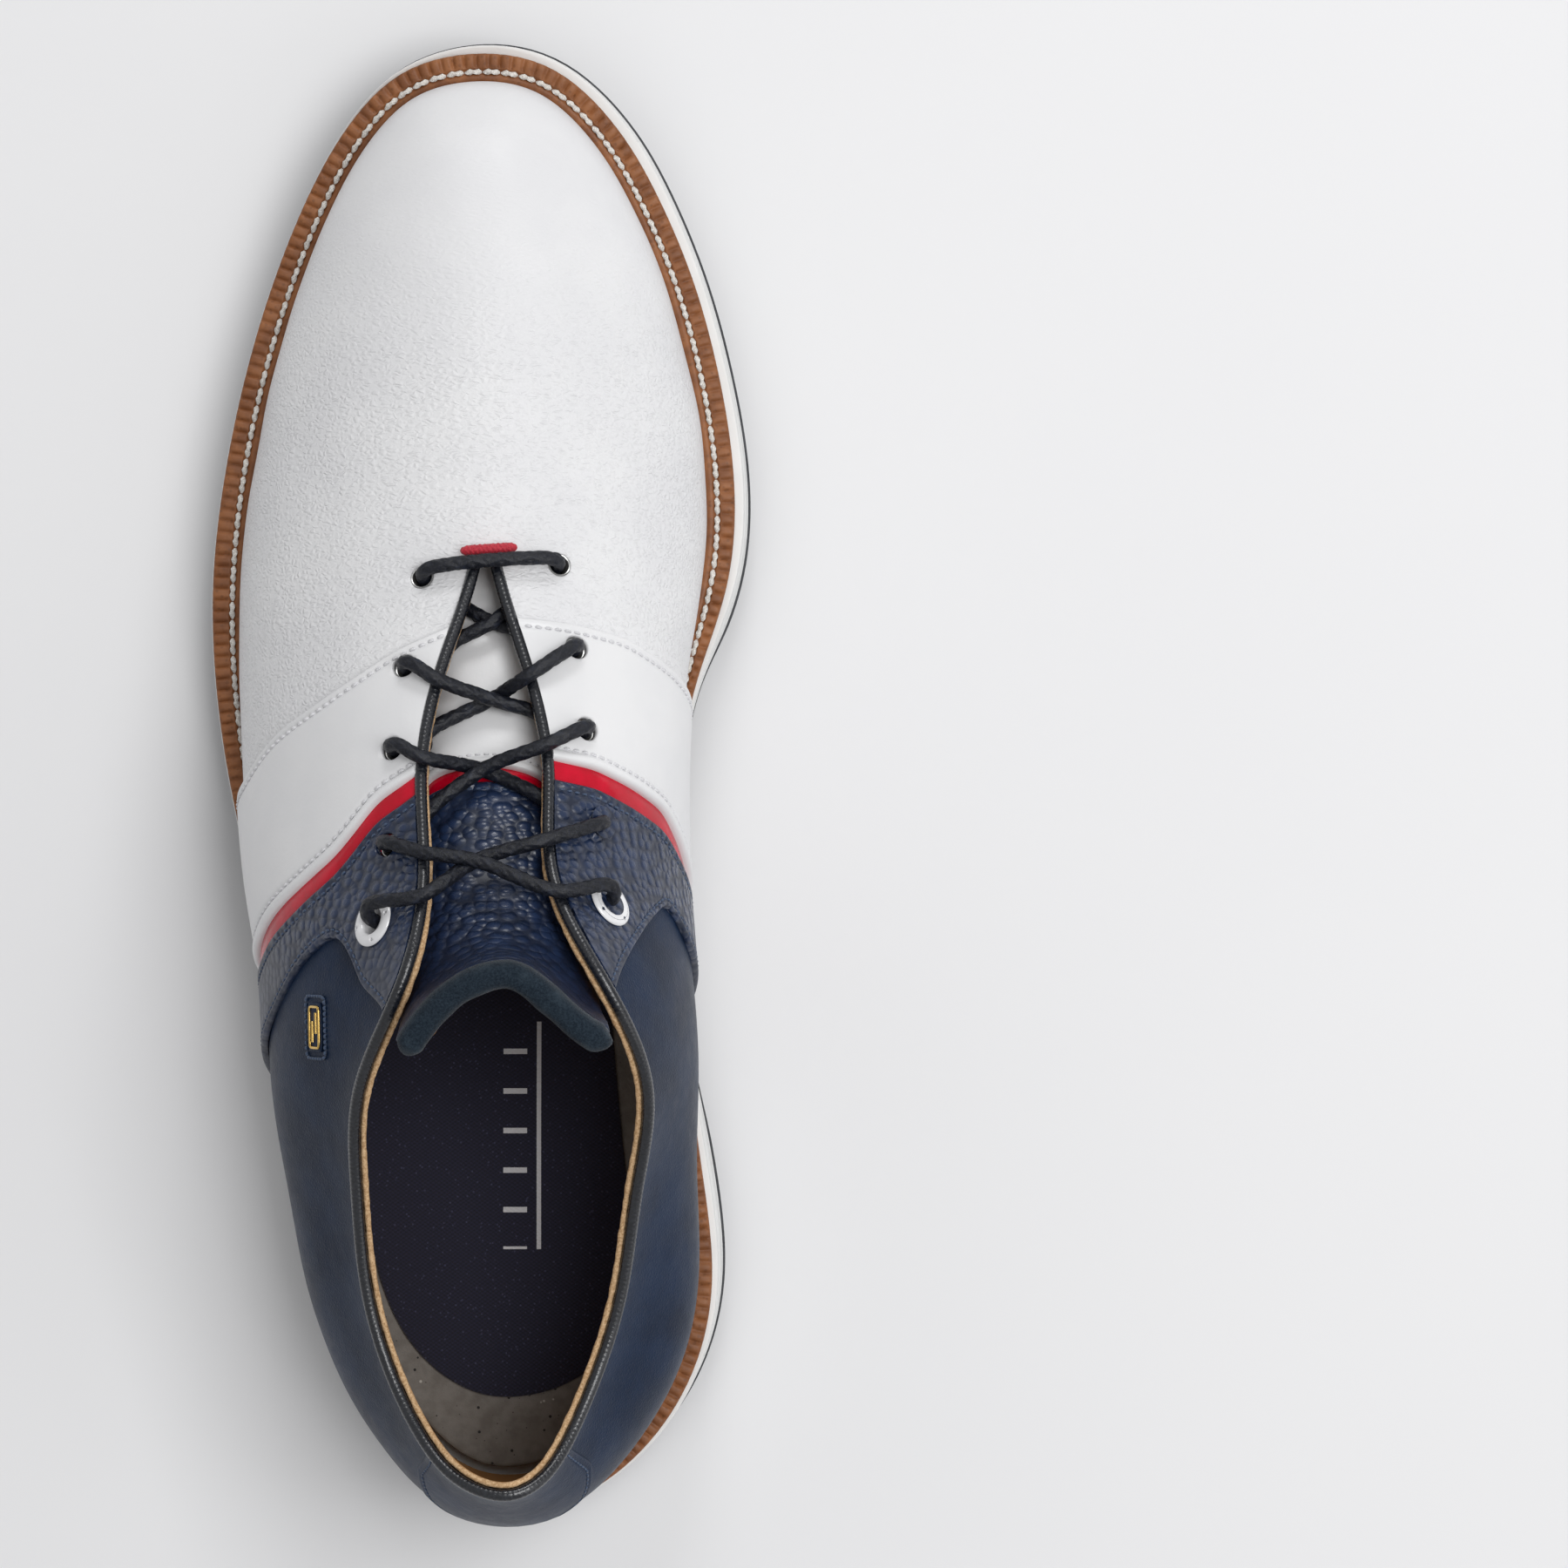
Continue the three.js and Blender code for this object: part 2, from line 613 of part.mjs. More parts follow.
const normalPlan = (side, k) => {
  const step = 0.02;
  const a = stationOn(side, k - step);
  const b = stationOn(side, k + step);
  return new THREE.Vector2(b[1] - a[1], a[0] - b[0]).normalize().multiplyScalar(sign(side));
};

// A point outside (or inside) the feather line in plan.
function outlineAt(side, k, offset) {
  const station = stationOn(side, k);
  const out = normalPlan(side, k);
  return new THREE.Vector2(station[0] + out.x * offset, station[1] + out.y * offset);
}
const weltWidth = (side, k) => stationOn(side, k)[9];
const soleEdge = (side, k) => stationOn(side, k)[10];

// A slab that follows the feather line: top and base each give an offset at a station and a height.
function slab(top, base, { from = 0, to = BACK, rows = 18, columns = 2 } = {}) {
  const layer = ({ offset, z }) => {
    const at = (i, j) => {
      const k = from + ((to - from) * i) / rows;
      const [m, l] = ["medial", "lateral"].map((side) => outlineAt(side, k, offset(side, k)));
      const f = j / columns;
      const y = m.y + f * (l.y - m.y);
      return { point: new THREE.Vector3(m.x + f * (l.x - m.x), y, z(y, 2 * f - 1)), v: f };
    };
    return at;
  };
  const [topAt, baseAt] = [layer(top), layer(base)];
  const upper = sheet(rows, columns, topAt);
  const lower = [];
  const seen = new Set();
  for (let i = 0; i <= rows; i++) {
    for (let j = 0; j <= columns; j++) {
      const key = topAt(i, j).point.toArray().map((c) => Math.round(c * 1e3)).join();
      if (seen.has(key)) continue;
      seen.add(key);
      lower.push(baseAt(i, j).point);
    }
  }
  return solidBetween(upper.points, lower, upper.triangles);
}

const inset = (distance) => () => -distance;
const soleOutline = (extra) => (side, k) => weltWidth(side, k) + soleEdge(side, k) + extra;

const bar = (x, y, radius, low, high, sides = 16) =>
  plug(new THREE.Vector3(x, y, 0), new THREE.Vector3(0, 0, 1), radius, low, high, sides);

function outsole() {
  const plate = slab(
    { offset: soleOutline(MIDSOLE_FLARE + OUTSOLE_EDGE), z: (y) => groundSide(y) + OUTSOLE_THICK },
    { offset: soleOutline(MIDSOLE_FLARE - 0.7), z: groundSide },
    { rows: 26, columns: 2 },
  );
  const lugs = LUG_SPOTS.map(([x, y]) => {
    const height = groundSide(y) + 1;
    const lug = new THREE.CylinderGeometry(1, 0.8, height, 4, 1);
    lug.rotateY(Math.PI / 4);
    lug.scale(LUG_SIZE[0] / Math.SQRT2, 1, LUG_SIZE[1] / Math.SQRT2);
    lug.rotateX(Math.PI / 2);
    return lug.translate(x, y, height / 2);
  });
  const seats = CLEAT_SPOTS.map(([x, y]) => bar(x, y, CUP_RADIUS + GAP, -1, FOREFOOT_HEIGHT));
  return cut(join([plate, ...lugs]), seats);
}

function midsole() {
  const body = slab(
    { offset: soleOutline(0), z: midsoleTop },
    { offset: soleOutline(MIDSOLE_FLARE), z: midsoleBase },
    { rows: 26, columns: 2 },
  );
  const roof = CLEAT_HEIGHT + CUP_DEPTH + 2 * GAP;
  return cut(body, CLEAT_SPOTS.map(([x, y]) => bar(x, y, CUP_RADIUS + GAP, -1, roof)));
}

function welt() {
  const count = STATIONS * 2;
  const section = (u) => {
    const [side, k] = u <= BACK ? ["lateral", u] : ["medial", STATIONS - u];
    const width = weltWidth(side, k);
    return [
      [-WELT_INSIDE, weltTop],
      [width - 0.6, weltTop],
      [width, (y) => weltTop(y) - 0.8],
      [width, weltBase],
      [-WELT_INSIDE, weltBase],
    ].map(([offset, z]) => {
      const p = outlineAt(side, k, offset);
      return new THREE.Vector3(p.x, p.y, z(p.y));
    });
  };
  const rings = Array.from({ length: count }, (_, i) => section((i * STATIONS) / count));
  const size = rings[0].length;
  const faces = [];
  for (let i = 0; i < count; i++) {
    const next = (i + 1) % count;
    for (let j = 0; j < size; j++) {
      const j2 = (j + 1) % size;
      const [a, b, c, d] = [i * size + j, next * size + j, next * size + j2, i * size + j2];
      faces.push([a, b, c], [a, c, d]);
    }
  }
  return facetSolid(rings.flat(), faces);
}

add("outsole", "charcoalRubber", outsole());
add("midsole", "whiteSole", midsole());
add("welt", "brownWelt", welt());

const fillerTop = (y) => midsoleTop(y) + GAP + FILLER_THICK;
const fillerEnd = stationForY("lateral", -12, 0);
add(
  "filler",
  "cork",
  slab(
    { offset: inset(WELT_INSIDE + 1), z: fillerTop },
    { offset: inset(WELT_INSIDE + 1), z: (y) => midsoleTop(y) + GAP },
    { to: fillerEnd, rows: 9 },
  ),
);

const boardBase = (y) => fillerTop(y) + GAP;
const boardTop = (y) => boardBase(y) + BOARD_THICK;
add(
  "insole_board",
  "board",
  slab({ offset: inset(BOARD_INSET), z: boardTop }, { offset: inset(BOARD_INSET), z: boardBase }, { rows: 20 }),
);

const SHANK = { length: 105, width: 16, y: 48, x: -2 };
function shank() {
  const count = 10;
  const edge = (lift) => (i, j) => {
    const y = SHANK.y + SHANK.length * (i / count - 0.5);
    const x = SHANK.x + SHANK.width * (j - 0.5);
    return { point: new THREE.Vector3(x, y, midsoleTop(y) + GAP + lift), v: 0 };
  };
  const top = sheet(count, 1, edge(1));
  const base = sheet(count, 1, edge(0));
  return solidBetween(top.points, base.points, top.triangles);
}
add("shank", "steel", shank());

const foamBase = (y) => boardTop(y) + GAP;
const foamTop = (y) => foamBase(y) + FOAM_THICK;
add(
  "footbed_foam",
  "greyFoam",
  slab(
    { offset: inset(FOOTBED_INSET), z: foamTop },
    { offset: inset(FOOTBED_INSET + 1), z: foamBase },
    { rows: 20, columns: 2 },
  ),
);
const coverInset = (side, k) => -COVER_INSET - COVER_HEEL.inset * smoothstep(COVER_HEEL.start, BACK, k);
const coverZ = (lift) => (y) => foamTop(y) + 0.5 + lift;
add(
  "footbed_cover",
  "darkCloth",
  slab(
    { offset: coverInset, z: coverZ(COVER_THICK) },
    { offset: coverInset, z: coverZ(0) },
    { from: 0.3, to: BACK - 0.15, rows: 20, columns: 2 },
  ),
);

// ---- Cleats ----

function receptacle(x, y) {
  const low = CLEAT_HEIGHT - 1;
  const high = CLEAT_HEIGHT + CUP_DEPTH;
  const profile = [
    [STEM_RADIUS + 0.4, low + 1],
    [CUP_RADIUS, low + 1],
    [CUP_RADIUS, high],
    [STEM_RADIUS + 0.4, high],
    [STEM_RADIUS + 0.4, low + 1],
  ].map(([r, z]) => new THREE.Vector2(r, z));
  return upright(new THREE.LatheGeometry(profile, 12), x, y);
}

function cleat(x, y) {
  const top = CLEAT_HEIGHT - GAP;
  const discThick = 1.6;
  const profile = [
    [0, 1.6],
    [CLEAT_RADIUS * 0.6, 2],
    [CLEAT_RADIUS, top - discThick],
    [CLEAT_RADIUS, top],
    [STEM_RADIUS, top],
    [STEM_RADIUS, top + CUP_DEPTH - 0.3],
    [0, top + CUP_DEPTH - 0.3],
  ].map(([r, z]) => new THREE.Vector2(r, z));
  const body = upright(new THREE.LatheGeometry(profile, 10), 0, 0);
  const legs = Array.from({ length: CLEAT_LEGS }, (_, i) => {
    const leg = new THREE.CylinderGeometry(1.7, 1, top - 1, 4);
    leg.rotateX(Math.PI / 2);
    const angle = (i / CLEAT_LEGS) * 2 * Math.PI;
    const r = CLEAT_RADIUS - 2.2;
    return leg.translate(r * Math.cos(angle), r * Math.sin(angle), (top - 1) / 2);
  });
  return join([body, ...legs]).translate(x, y, 0);
}

CLEAT_SPOTS.forEach(([x, y], i) => {
  add("receptacle_" + (i + 1), "charcoalRubber", receptacle(x, y));
  add("cleat_" + (i + 1), "cleatPlastic", cleat(x, y));
});

// ---- Upper ----

const vampRear = (side, v) => seam(side, SADDLE_FRONT, UNDERLAP)(v);
add("vamp", "whiteLeather", cut(shell(toeSheet(vampRear, 10, 3, 8), () => PANEL), holeTools(SIDES)));

const LINING_SPLIT = -22;
const liningFront = (side, v) => stationForY(side, LINING_SPLIT, v);
add("vamp_lining", "tanLeather", cut(shell(toeSheet(liningFront, 10, 2, 6), liningLayer), holeTools(SIDES)));

function toePuff() {
  const rows = 14;
  const columns = 5;
  const { reach, low, high } = TOE_PUFF;
  return shell(
    sheet(rows, columns, (i, j) => {
      const k = (reach * Math.abs(i - rows / 2)) / (rows / 2);
      const v = low + ((high - low) * j) / columns;
      return { point: onLast(i < rows / 2 ? "medial" : "lateral", k, v), v };
    }),
    () => STIFFENER,
  );
}
add("toe_puff", "stiffener", toePuff());

// A piece that wraps the heel from one side's front seam to the other's.
function heelSheet(frontAt, rows, columns, low, high) {
  return sheet(2 * rows, columns, (i, j) => {
    const side = i < rows ? "medial" : "lateral";
    const v = low + ((high - low) * j) / columns;
    const front = frontAt(side, v);
    const k = BACK - (BACK - front) * (Math.abs(i - rows) / rows);
    return { point: onLast(side, k, v), v };
  });
}

const quarterLiningFront = (side, v) => stationForY(side, LINING_SPLIT + 0.6, v);
const quarterLining = shell(heelSheet(quarterLiningFront, 14, 6, 0, EDGE_V), liningLayer);
add("quarter_lining", "tanLeather", cut(quarterLining, holeTools(SIDES)));

const counterFront = (side, v) => (side === "medial" ? 13.2 : 13.8) + 1.2 * v;
add("heel_counter", "stiffener", shell(heelSheet(counterFront, 10, 4, 0.02, COUNTER_HIGH), () => STIFFENER));

for (const side of SIDES) {
  const saddle = panelSheet(side, seam(side, SADDLE_FRONT), seam(side, SADDLE_REAR), 5);
  add("saddle_" + side, "whiteLeather", cut(shell(saddle, () => OVERLAY), holeTools([side])));

  const strip = panelSheet(
    side,
    seam(side, SADDLE_REAR, -UNDERLAP),
    seam(side, SADDLE_REAR, STRIP_WIDTH + UNDERLAP),
    3,
  );
  add("accent_" + side, "redPatent", cut(shell(strip, () => PANEL), holeTools([side])));

  const stay = panelSheet(side, seam(side, SADDLE_REAR, STRIP_WIDTH), seam(side, EYESTAY_REAR), 6);
  add("eyestay_" + side, "pebbledNavy", cut(shell(stay, () => OVERLAY), holeTools([side])));

  const quarter = panelSheet(side, seam(side, EYESTAY_REAR, -UNDERLAP), () => BACK - 0.045, 12);
  add("quarter_" + side, "smoothNavy", cut(shell(quarter, () => PANEL), holeTools([side])));
}

const TAB_EDGE = [
  [0.37, 17.9],
  [0.42, 17.2],
  [0.5, 16.8],
  [0.68, 16.35],
  [1, 15.95],
];
add(
  "heel_tab",
  "smoothNavy",
  shell(heelSheet((side, v) => linearAt(TAB_EDGE, v), 5, 7, 0.38, EDGE_V), () => TAB),
);

function toplineBead() {
  const points = [];
  const front = { lateral: stationForY("lateral", -38.7, 1), medial: stationForY("medial", -38.7, 1) };
  const steps = 24;
  for (let i = 0; i < steps; i++) {
    points.push(onLast("lateral", front.lateral + ((BACK - front.lateral) * i) / steps, 1));
  }
  for (let i = 0; i <= steps; i++) {
    points.push(onLast("medial", BACK - ((BACK - front.medial) * i) / steps, 1));
  }
  const route = new THREE.CatmullRomCurve3(points, true, "centripetal");
  return new THREE.TubeGeometry(route, 68, BEAD_RADIUS, 6, true);
}
add("topline_bead", "blackBead", toplineBead());

// ---- Tongue ----

function tongueAt(a, b) {
  const i = clamp(Math.floor(a), 0, TONGUE.length - 2);
  const at = (n) => TONGUE[clamp(n, 0, TONGUE.length - 1)];
  const t = a - i;
  const value = (j) => {
    const [p0, p1, p2, p3] = [at(i - 1), at(i), at(i + 1), at(i + 2)].map((row) => row[j]);
    return 0.5 * (2 * p1 + (p2 - p0) * t + (2 * p0 - 5 * p1 + 4 * p2 - p3) * t * t + (3 * p1 - p0 - 3 * p2 + p3) * t ** 3);
  };
  return [0, 1, 2, 3, 4].map(value);
}

function tonguePoint(a, b) {
  const [x, y, z, half, depth] = tongueAt(a);
  const ahead = tongueAt(a + 0.02);
  const behind = tongueAt(a - 0.02);
  const rise = new THREE.Vector2(ahead[1] - behind[1], ahead[2] - behind[2]).normalize();
  const wing = TONGUE_WINGS[b > 0 ? "lateral" : "medial"];
  const opened = smoothstep(...TONGUE_WINGS.rows, a);
  const flare = wing.flare * opened;
  const angle = (b * Math.PI) / 2;
  const across = (1 - flare) * Math.sin(angle) + flare * b;
  const arch = (1 - flare) * (1 - Math.cos(angle)) + (flare * (1 - Math.cos(2 * angle))) / 2;
  const sink = depth * arch * (1 + opened * (wing.depth - 1));
  return new THREE.Vector3(x + half * across, y + rise.y * sink, z - rise.x * sink);
}

function tonguePanel(from, to, layer, rows, columns = 6) {
  const surface = sheet(rows, columns, (i, j) => ({
    point: tonguePoint(from + ((to - from) * i) / rows, -0.9 + (1.8 * j) / columns),
    v: 0,
  }));
  const normals = sheetNormals(surface);
  const turn = sum(normals.map((n) => n.z - n.y)) < 0 ? -1 : 1;
  const offset = (distance) => surface.points.map((p, i) => p.clone().addScaledVector(normals[i], turn * distance));
  return solidBetween(offset(layer.outer), offset(layer.inner), surface.triangles);
}

const tongueEnd = TONGUE.length - 1;
add("tongue_base", "whiteLeather", tonguePanel(0, 2.93, TONGUE_LAYERS.face, 8));
add("tongue_accent", "redPatent", tonguePanel(2.75, 3.35, TONGUE_LAYERS.accent, 2));
add("tongue_cover", "pebbledNavy", tonguePanel(3.08, 7, TONGUE_LAYERS.face, 10));
add("tongue_foam", "greyFoam", tonguePanel(0.1, 7, TONGUE_LAYERS.foam, 12));
add("tongue_lining", "tanLeather", tonguePanel(0, 7, TONGUE_LAYERS.lining, 12));
add("tongue_binding", "suede", tonguePanel(7.1, tongueEnd, TONGUE_LAYERS.binding, 3));

// ---- Eyelets, trim ----

for (const side of SIDES) {
  holeFrames[side].forEach(({ point, normal }, n) => {
    if (n < 4) {
      const { bore, barrel, flange, flangeThick } = SMALL_EYELET;
      const low = LINING_TOP.inner - 2.7 * GAP - flangeThick;
      const profile = [
        [bore, low],
        [flange, low],
        [flange, low + flangeThick],
        [barrel, low + flangeThick],
        [barrel, -0.4],
        [bore, -0.4],
        [bore, low],
      ].map(([r, h]) => new THREE.Vector2(r, h));
      add("eyelet_" + side + "_" + (n + 1), "steel", placeOn(new THREE.LatheGeometry(profile, 8), point, normal));
    } else {
      const { bore, barrel, flange } = TOP_EYELET;
      const seat = OVERLAY.outer + GAP;
      const profile = [
        [bore, -2.9],
        [barrel, -2.9],
        [barrel, seat],
        [flange, seat],
        [flange, seat + 0.4],
        [flange - 1.2, seat + 1],
        [bore, seat + 0.7],
        [bore, -2.9],
      ].map(([r, h]) => new THREE.Vector2(r, h));
      add("top_eyelet_" + side, "whiteEnamel", placeOn(new THREE.LatheGeometry(profile, 16), point, normal));
    }
  });
}

// A lace keeps its own spacing of points, so that short bends get as many steps as long runs.
class LaceCurve extends THREE.CatmullRomCurve3 {
  getUtoTmapping(u) {
    return u;
  }
}

function lace() {
  const points = LACE_ROUTE.map((p) => new THREE.Vector3(...p));
  const route = new LaceCurve(points, false, "centripetal");
  const section = new THREE.Shape();
  section.absarc(0, 0, LACE_RADIUS, 0, 2 * Math.PI);
  return new THREE.ExtrudeGeometry(section, {
    steps: points.length - 1,
    curveSegments: 4, // eight sides
    extrudePath: route,
  });
}

function aglet(first, second) {
  const tip = new THREE.Vector3(...first);
  const along = tip.clone().sub(new THREE.Vector3(...second)).normalize();
  return plug(tip, along, AGLET_RADIUS, GAP, AGLET_LENGTH, 8);
}

add("lace", "lace", lace());
add("aglet_lateral", "aglet", aglet(LACE_ROUTE[0], LACE_ROUTE[1]));
add("aglet_medial", "aglet", aglet(LACE_ROUTE.at(-1), LACE_ROUTE.at(-2)));

// The bar of stitches that closes the front of the throat.
function barTack() {
  const { x, y, length, radius } = BAR_TACK;
  const { k, v } = lastOver("lateral", x + 4, y);
  const ridge = onLast("lateral", k, v).z + radius + GAP;
  const tack = new THREE.CapsuleGeometry(radius, length - 2 * radius, 2, 8);
  tack.rotateZ(Math.PI / 2);
  return tack.translate(x, y, ridge + 0.2);
}
add("bar_tack", "redThread", barTack());

// A plain plate sewn on the lateral quarter, its long side running towards the heel.
function badge() {
  const { x, y, width, length, thick } = BADGE;
  const { k, v } = lastOver("lateral", x, y);
  const normal = normalOn("lateral", k, v);
  const along = new THREE.Vector3(0, 1, 0).projectOnPlane(normal).normalize();
  const across = new THREE.Vector3().crossVectors(along, normal);
  const plate = new THREE.BoxGeometry(width, length, thick);
  plate.translate(0, 0, PANEL.outer + 2 * GAP + thick / 2);
  plate.applyMatrix4(new THREE.Matrix4().makeBasis(across, along, normal));
  return plate.translate(...onLast("lateral", k, v).toArray());
}
add("side_badge", "gold", badge());

export default shoe;
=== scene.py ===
"""A left golf shoe: leather panels laid on one smooth last, a stitched welt, a laced throat and a padded
tongue. Lengths are in millimetres until a mesh is made, when they turn into the frame's metres."""

import math

import bmesh
import bpy
import numpy as np

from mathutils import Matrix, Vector


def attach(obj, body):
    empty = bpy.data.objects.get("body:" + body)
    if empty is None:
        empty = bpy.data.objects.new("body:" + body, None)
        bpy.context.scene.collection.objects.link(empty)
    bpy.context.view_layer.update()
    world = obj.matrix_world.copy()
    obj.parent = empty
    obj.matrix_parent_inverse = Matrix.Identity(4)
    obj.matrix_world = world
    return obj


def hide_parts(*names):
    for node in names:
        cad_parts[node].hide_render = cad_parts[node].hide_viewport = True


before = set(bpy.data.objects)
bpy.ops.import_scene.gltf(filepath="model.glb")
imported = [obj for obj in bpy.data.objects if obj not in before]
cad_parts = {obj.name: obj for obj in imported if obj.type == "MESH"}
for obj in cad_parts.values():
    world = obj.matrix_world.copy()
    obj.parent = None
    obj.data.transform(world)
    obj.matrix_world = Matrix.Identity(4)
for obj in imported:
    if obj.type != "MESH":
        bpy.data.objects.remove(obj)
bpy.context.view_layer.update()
MM = 0.001

# ---- Camera ----

CAMERA_AT = (-63.05, 1.8, 1200)  # straight above the middle of the pair, of which this is one
camera = bpy.data.objects.new("camera", bpy.data.cameras.new("camera"))
camera.location = [c * MM for c in CAMERA_AT]
camera.rotation_euler = (0, 0, math.pi)  # the toe points up in the picture
camera.data.lens = 132
camera.data.sensor_width = 36
bpy.context.scene.collection.objects.link(camera)
bpy.context.scene.camera = camera

# ---- The last ----
#
# A row of the ring is one station of the foot's shape: the foot x, y; the top x, y, z; how far the rib
# leans out and up from the foot, and out and down from the top; and the welt's width and the sole's edge.

VAMP_POLE = [-3, -100, 55.5]
POLE_STATION = 4
THROAT_APEX = -43.5
TOE = [-1.5, -141.4, *VAMP_POLE, 1, 15, 24, 3.8, 5.8, 2]
LATERAL = [
    [11.4, -138.6, *VAMP_POLE, 1.2, 15, 24, 3.5, 5.8, 1.2],
    [21, -130, *VAMP_POLE, 1.4, 15, 23.5, 2.9, 5.8, 0.7],
    [28.6, -117.5, *VAMP_POLE, 1.6, 15.5, 23, 1.8, 5.9, 0.4],
    [35.9, -100, *VAMP_POLE, 1.8, 16, 22.5, 0, 6, 0.4],
    [41.9, -80, -3.3, -80, 58.7, 2, 17.5, 23.5, 0, 6, 0.4],
    [45.9, -60, -3.7, -60, 63, 2.2, 19, 24, 0, 6.1, 0.4],
    [47.9, -40, -1.9, -40, 69.3, 3, 21, 23, 1, 6.3, 0.4],
    [47.6, -20, 4.1, -20, 77.3, 5, 23, 19, 3, 6.1, 0.4],
    [44.9, 0, 7.3, 0, 85.5, 10, 25, 15, 6, 5.9, 0.4],
    [40.8, 20, 6.2, 20, 95.5, 17, 26, 12, 10, 5.7, 0.4],
    [37.6, 40, 9.9, 40, 104.5, 15.5, 26, 9, 16, 5.6, 0.4],
    [34.9, 60, 18.4, 60, 95.5, 16.5, 24, 6, 20, 5.6, 0.4],
    [32.2, 80, 19.9, 80, 84.5, 14.5, 22, 4.5, 18, 5.6, 0.4],
    [29.2, 100, 18.4, 100, 78.5, 13, 20, 4, 16, 5.6, 0.4],
    [23.5, 118, 13.2, 118, 78, 12.5, 20, 3.5, 16, 5.4, 0.4],
    [15, 132.5, 5.5, 131.5, 82.5, 12, 20, 3, 16, 5.2, 0.4],
    [4.5, 142.3, -2, 137.6, 87, 11.5, 20, 3, 16, 5, 0.4],
]
HEEL = [-7, 145.5, -9.5, 139.2, 89, 11, 20, 3, 16, 4.6, 0.4]
MEDIAL = [
    [-13.8, -138.6, *VAMP_POLE, 1.2, 15, 24, 3.5, 5.8, 2],
    [-23.8, -129.5, *VAMP_POLE, 1.4, 15, 23.5, 2.9, 5.8, 2],
    [-31.3, -117.5, *VAMP_POLE, 1.6, 15.5, 23, 1.8, 5.8, 1.9],
    [-38.8, -100, *VAMP_POLE, 1.8, 16, 22.5, 0, 5.8, 1.7],
    [-44.2, -80, -3.3, -80, 58.7, 2, 17.5, 23.5, 0, 5.8, 1.7],
    [-47, -60, -3.7, -60, 63, 2.2, 19, 24, 0, 5.8, 1.9],
    [-46, -40, -6.7, -40, 69.3, 3.5, 21, 23, 1, 5.4, 1.5],
    [-40.8, -20, -13.2, -20, 76.9, 10, 23, 19, 3, 4.4, 0.6],
    [-37.6, 0, -17.4, 0, 85, 15, 25, 15, 6, 4, 0.4],
    [-36.6, 20, -18.8, 20, 95, 18, 26, 12, 10, 4, 0.4],
    [-37, 40, -29, 40, 103.5, 17.5, 26, 9, 16, 4.4, 0.4],
    [-38.6, 60, -36.7, 60, 94.5, 14.5, 24, 6, 20, 5, 0.6],
    [-40.6, 80, -34.6, 80, 84.5, 12.5, 22, 4.5, 18, 5.6, 1.2],
    [-42.6, 100, -31.5, 100, 78.5, 10.5, 20, 4, 16, 5.8, 1.2],
    [-40, 117, -26.5, 117, 78, 10.5, 20, 3.5, 16, 5.8, 1],
    [-32, 131.5, -20.5, 130.5, 82.5, 11, 20, 3, 16, 5.6, 0.8],
    [-20, 142, -15.5, 136.8, 87, 11, 20, 3, 16, 5, 0.5],
]
RING = np.array([TOE, *LATERAL, HEEL, *MEDIAL[::-1]], float)
STATIONS = len(RING)
BACK = STATIONS // 2
WELT_WIDTH, SOLE_EDGE = 9, 10  # columns of the ring
FOREFOOT_HEIGHT, HEEL_LIFT, ARCH_RISE = 20.1, 9.5, 3.5
TOE_SPRING, SPRING_START, SPRING_RUN = 8.5, -95, 53
SEARCH_STEPS = 40

# Control points whose B-spline passes through the ring, found by correcting them again and again.
controls = RING.copy()
for _ in range(SEARCH_STEPS):
    reached = (np.roll(controls, 1, 0) + 4 * controls + np.roll(controls, -1, 0)) / 6
    controls = controls + RING - reached


def smoothstep(a, b, x):
    t = np.clip((np.asarray(x, float) - a) / (b - a), 0, 1)
    return t * t * (3 - 2 * t)


def station_at(u):
    """The ring's row at u, which runs from the toe tip down the lateral side, round the heel and back."""
    u = np.asarray(u, float)
    i = np.floor(u).astype(int)
    t = (u - i)[..., None]
    weights = [
        (1 - t) ** 3 / 6,
        (3 * t**3 - 6 * t * t + 4) / 6,
        (-3 * t**3 + 3 * t * t + 3 * t + 1) / 6,
        t**3 / 6,
    ]
    return sum(w * controls[(i - 1 + n) % STATIONS] for n, w in enumerate(weights))


def spring_at(y):
    """How far the sole curls up towards the toe."""
    return TOE_SPRING * (np.clip(SPRING_START - np.asarray(y, float), 0, None) / SPRING_RUN) ** 2


def arch_at(y):
    return ARCH_RISE * smoothstep(-18, 8, y) * (1 - smoothstep(52, 78, y))


def feather_z(y):
    """Height of the line where the upper meets the sole."""
    return FOREFOOT_HEIGHT + spring_at(y) + HEEL_LIFT * smoothstep(-30, 80, y)


def unit(a):
    return a / np.maximum(np.linalg.norm(a, axis=-1, keepdims=True), 1e-12)


def on_last(u, v):
    """A point of the last: up the rib at u from the feather line (v = 0) to the throat or collar (v = 1)."""
    u, v = np.broadcast_arrays(np.asarray(u, float), np.asarray(v, float))
    row = station_at(u)
    k = np.abs((u + BACK) % STATIONS - BACK)
    pole = (k <= POLE_STATION) | (row[..., 3] < VAMP_POLE[1])
    top = np.where(pole[..., None], np.array(VAMP_POLE, float), row[..., 2:5])
    foot = np.concatenate([row[..., :2], feather_z(row[..., 1])[..., None]], -1)
    out = unit(foot[..., :2] - top[..., :2])
    low = foot + np.concatenate([out * row[..., 5:6], row[..., 6:7]], -1)
    high = top + np.concatenate([out * row[..., 7:8], -row[..., 8:9]], -1)
    t = v[..., None]
    return (1 - t) ** 3 * foot + 3 * t * (1 - t) ** 2 * low + 3 * t * t * (1 - t) * high + t**3 * top


def normal_on(u, v):
    step = 0.02
    v = np.clip(v, step, 0.97)
    along = on_last(u + step, v) - on_last(u - step, v)
    up = on_last(u, v + step) - on_last(u, v - step)
    return unit(np.cross(along, up))


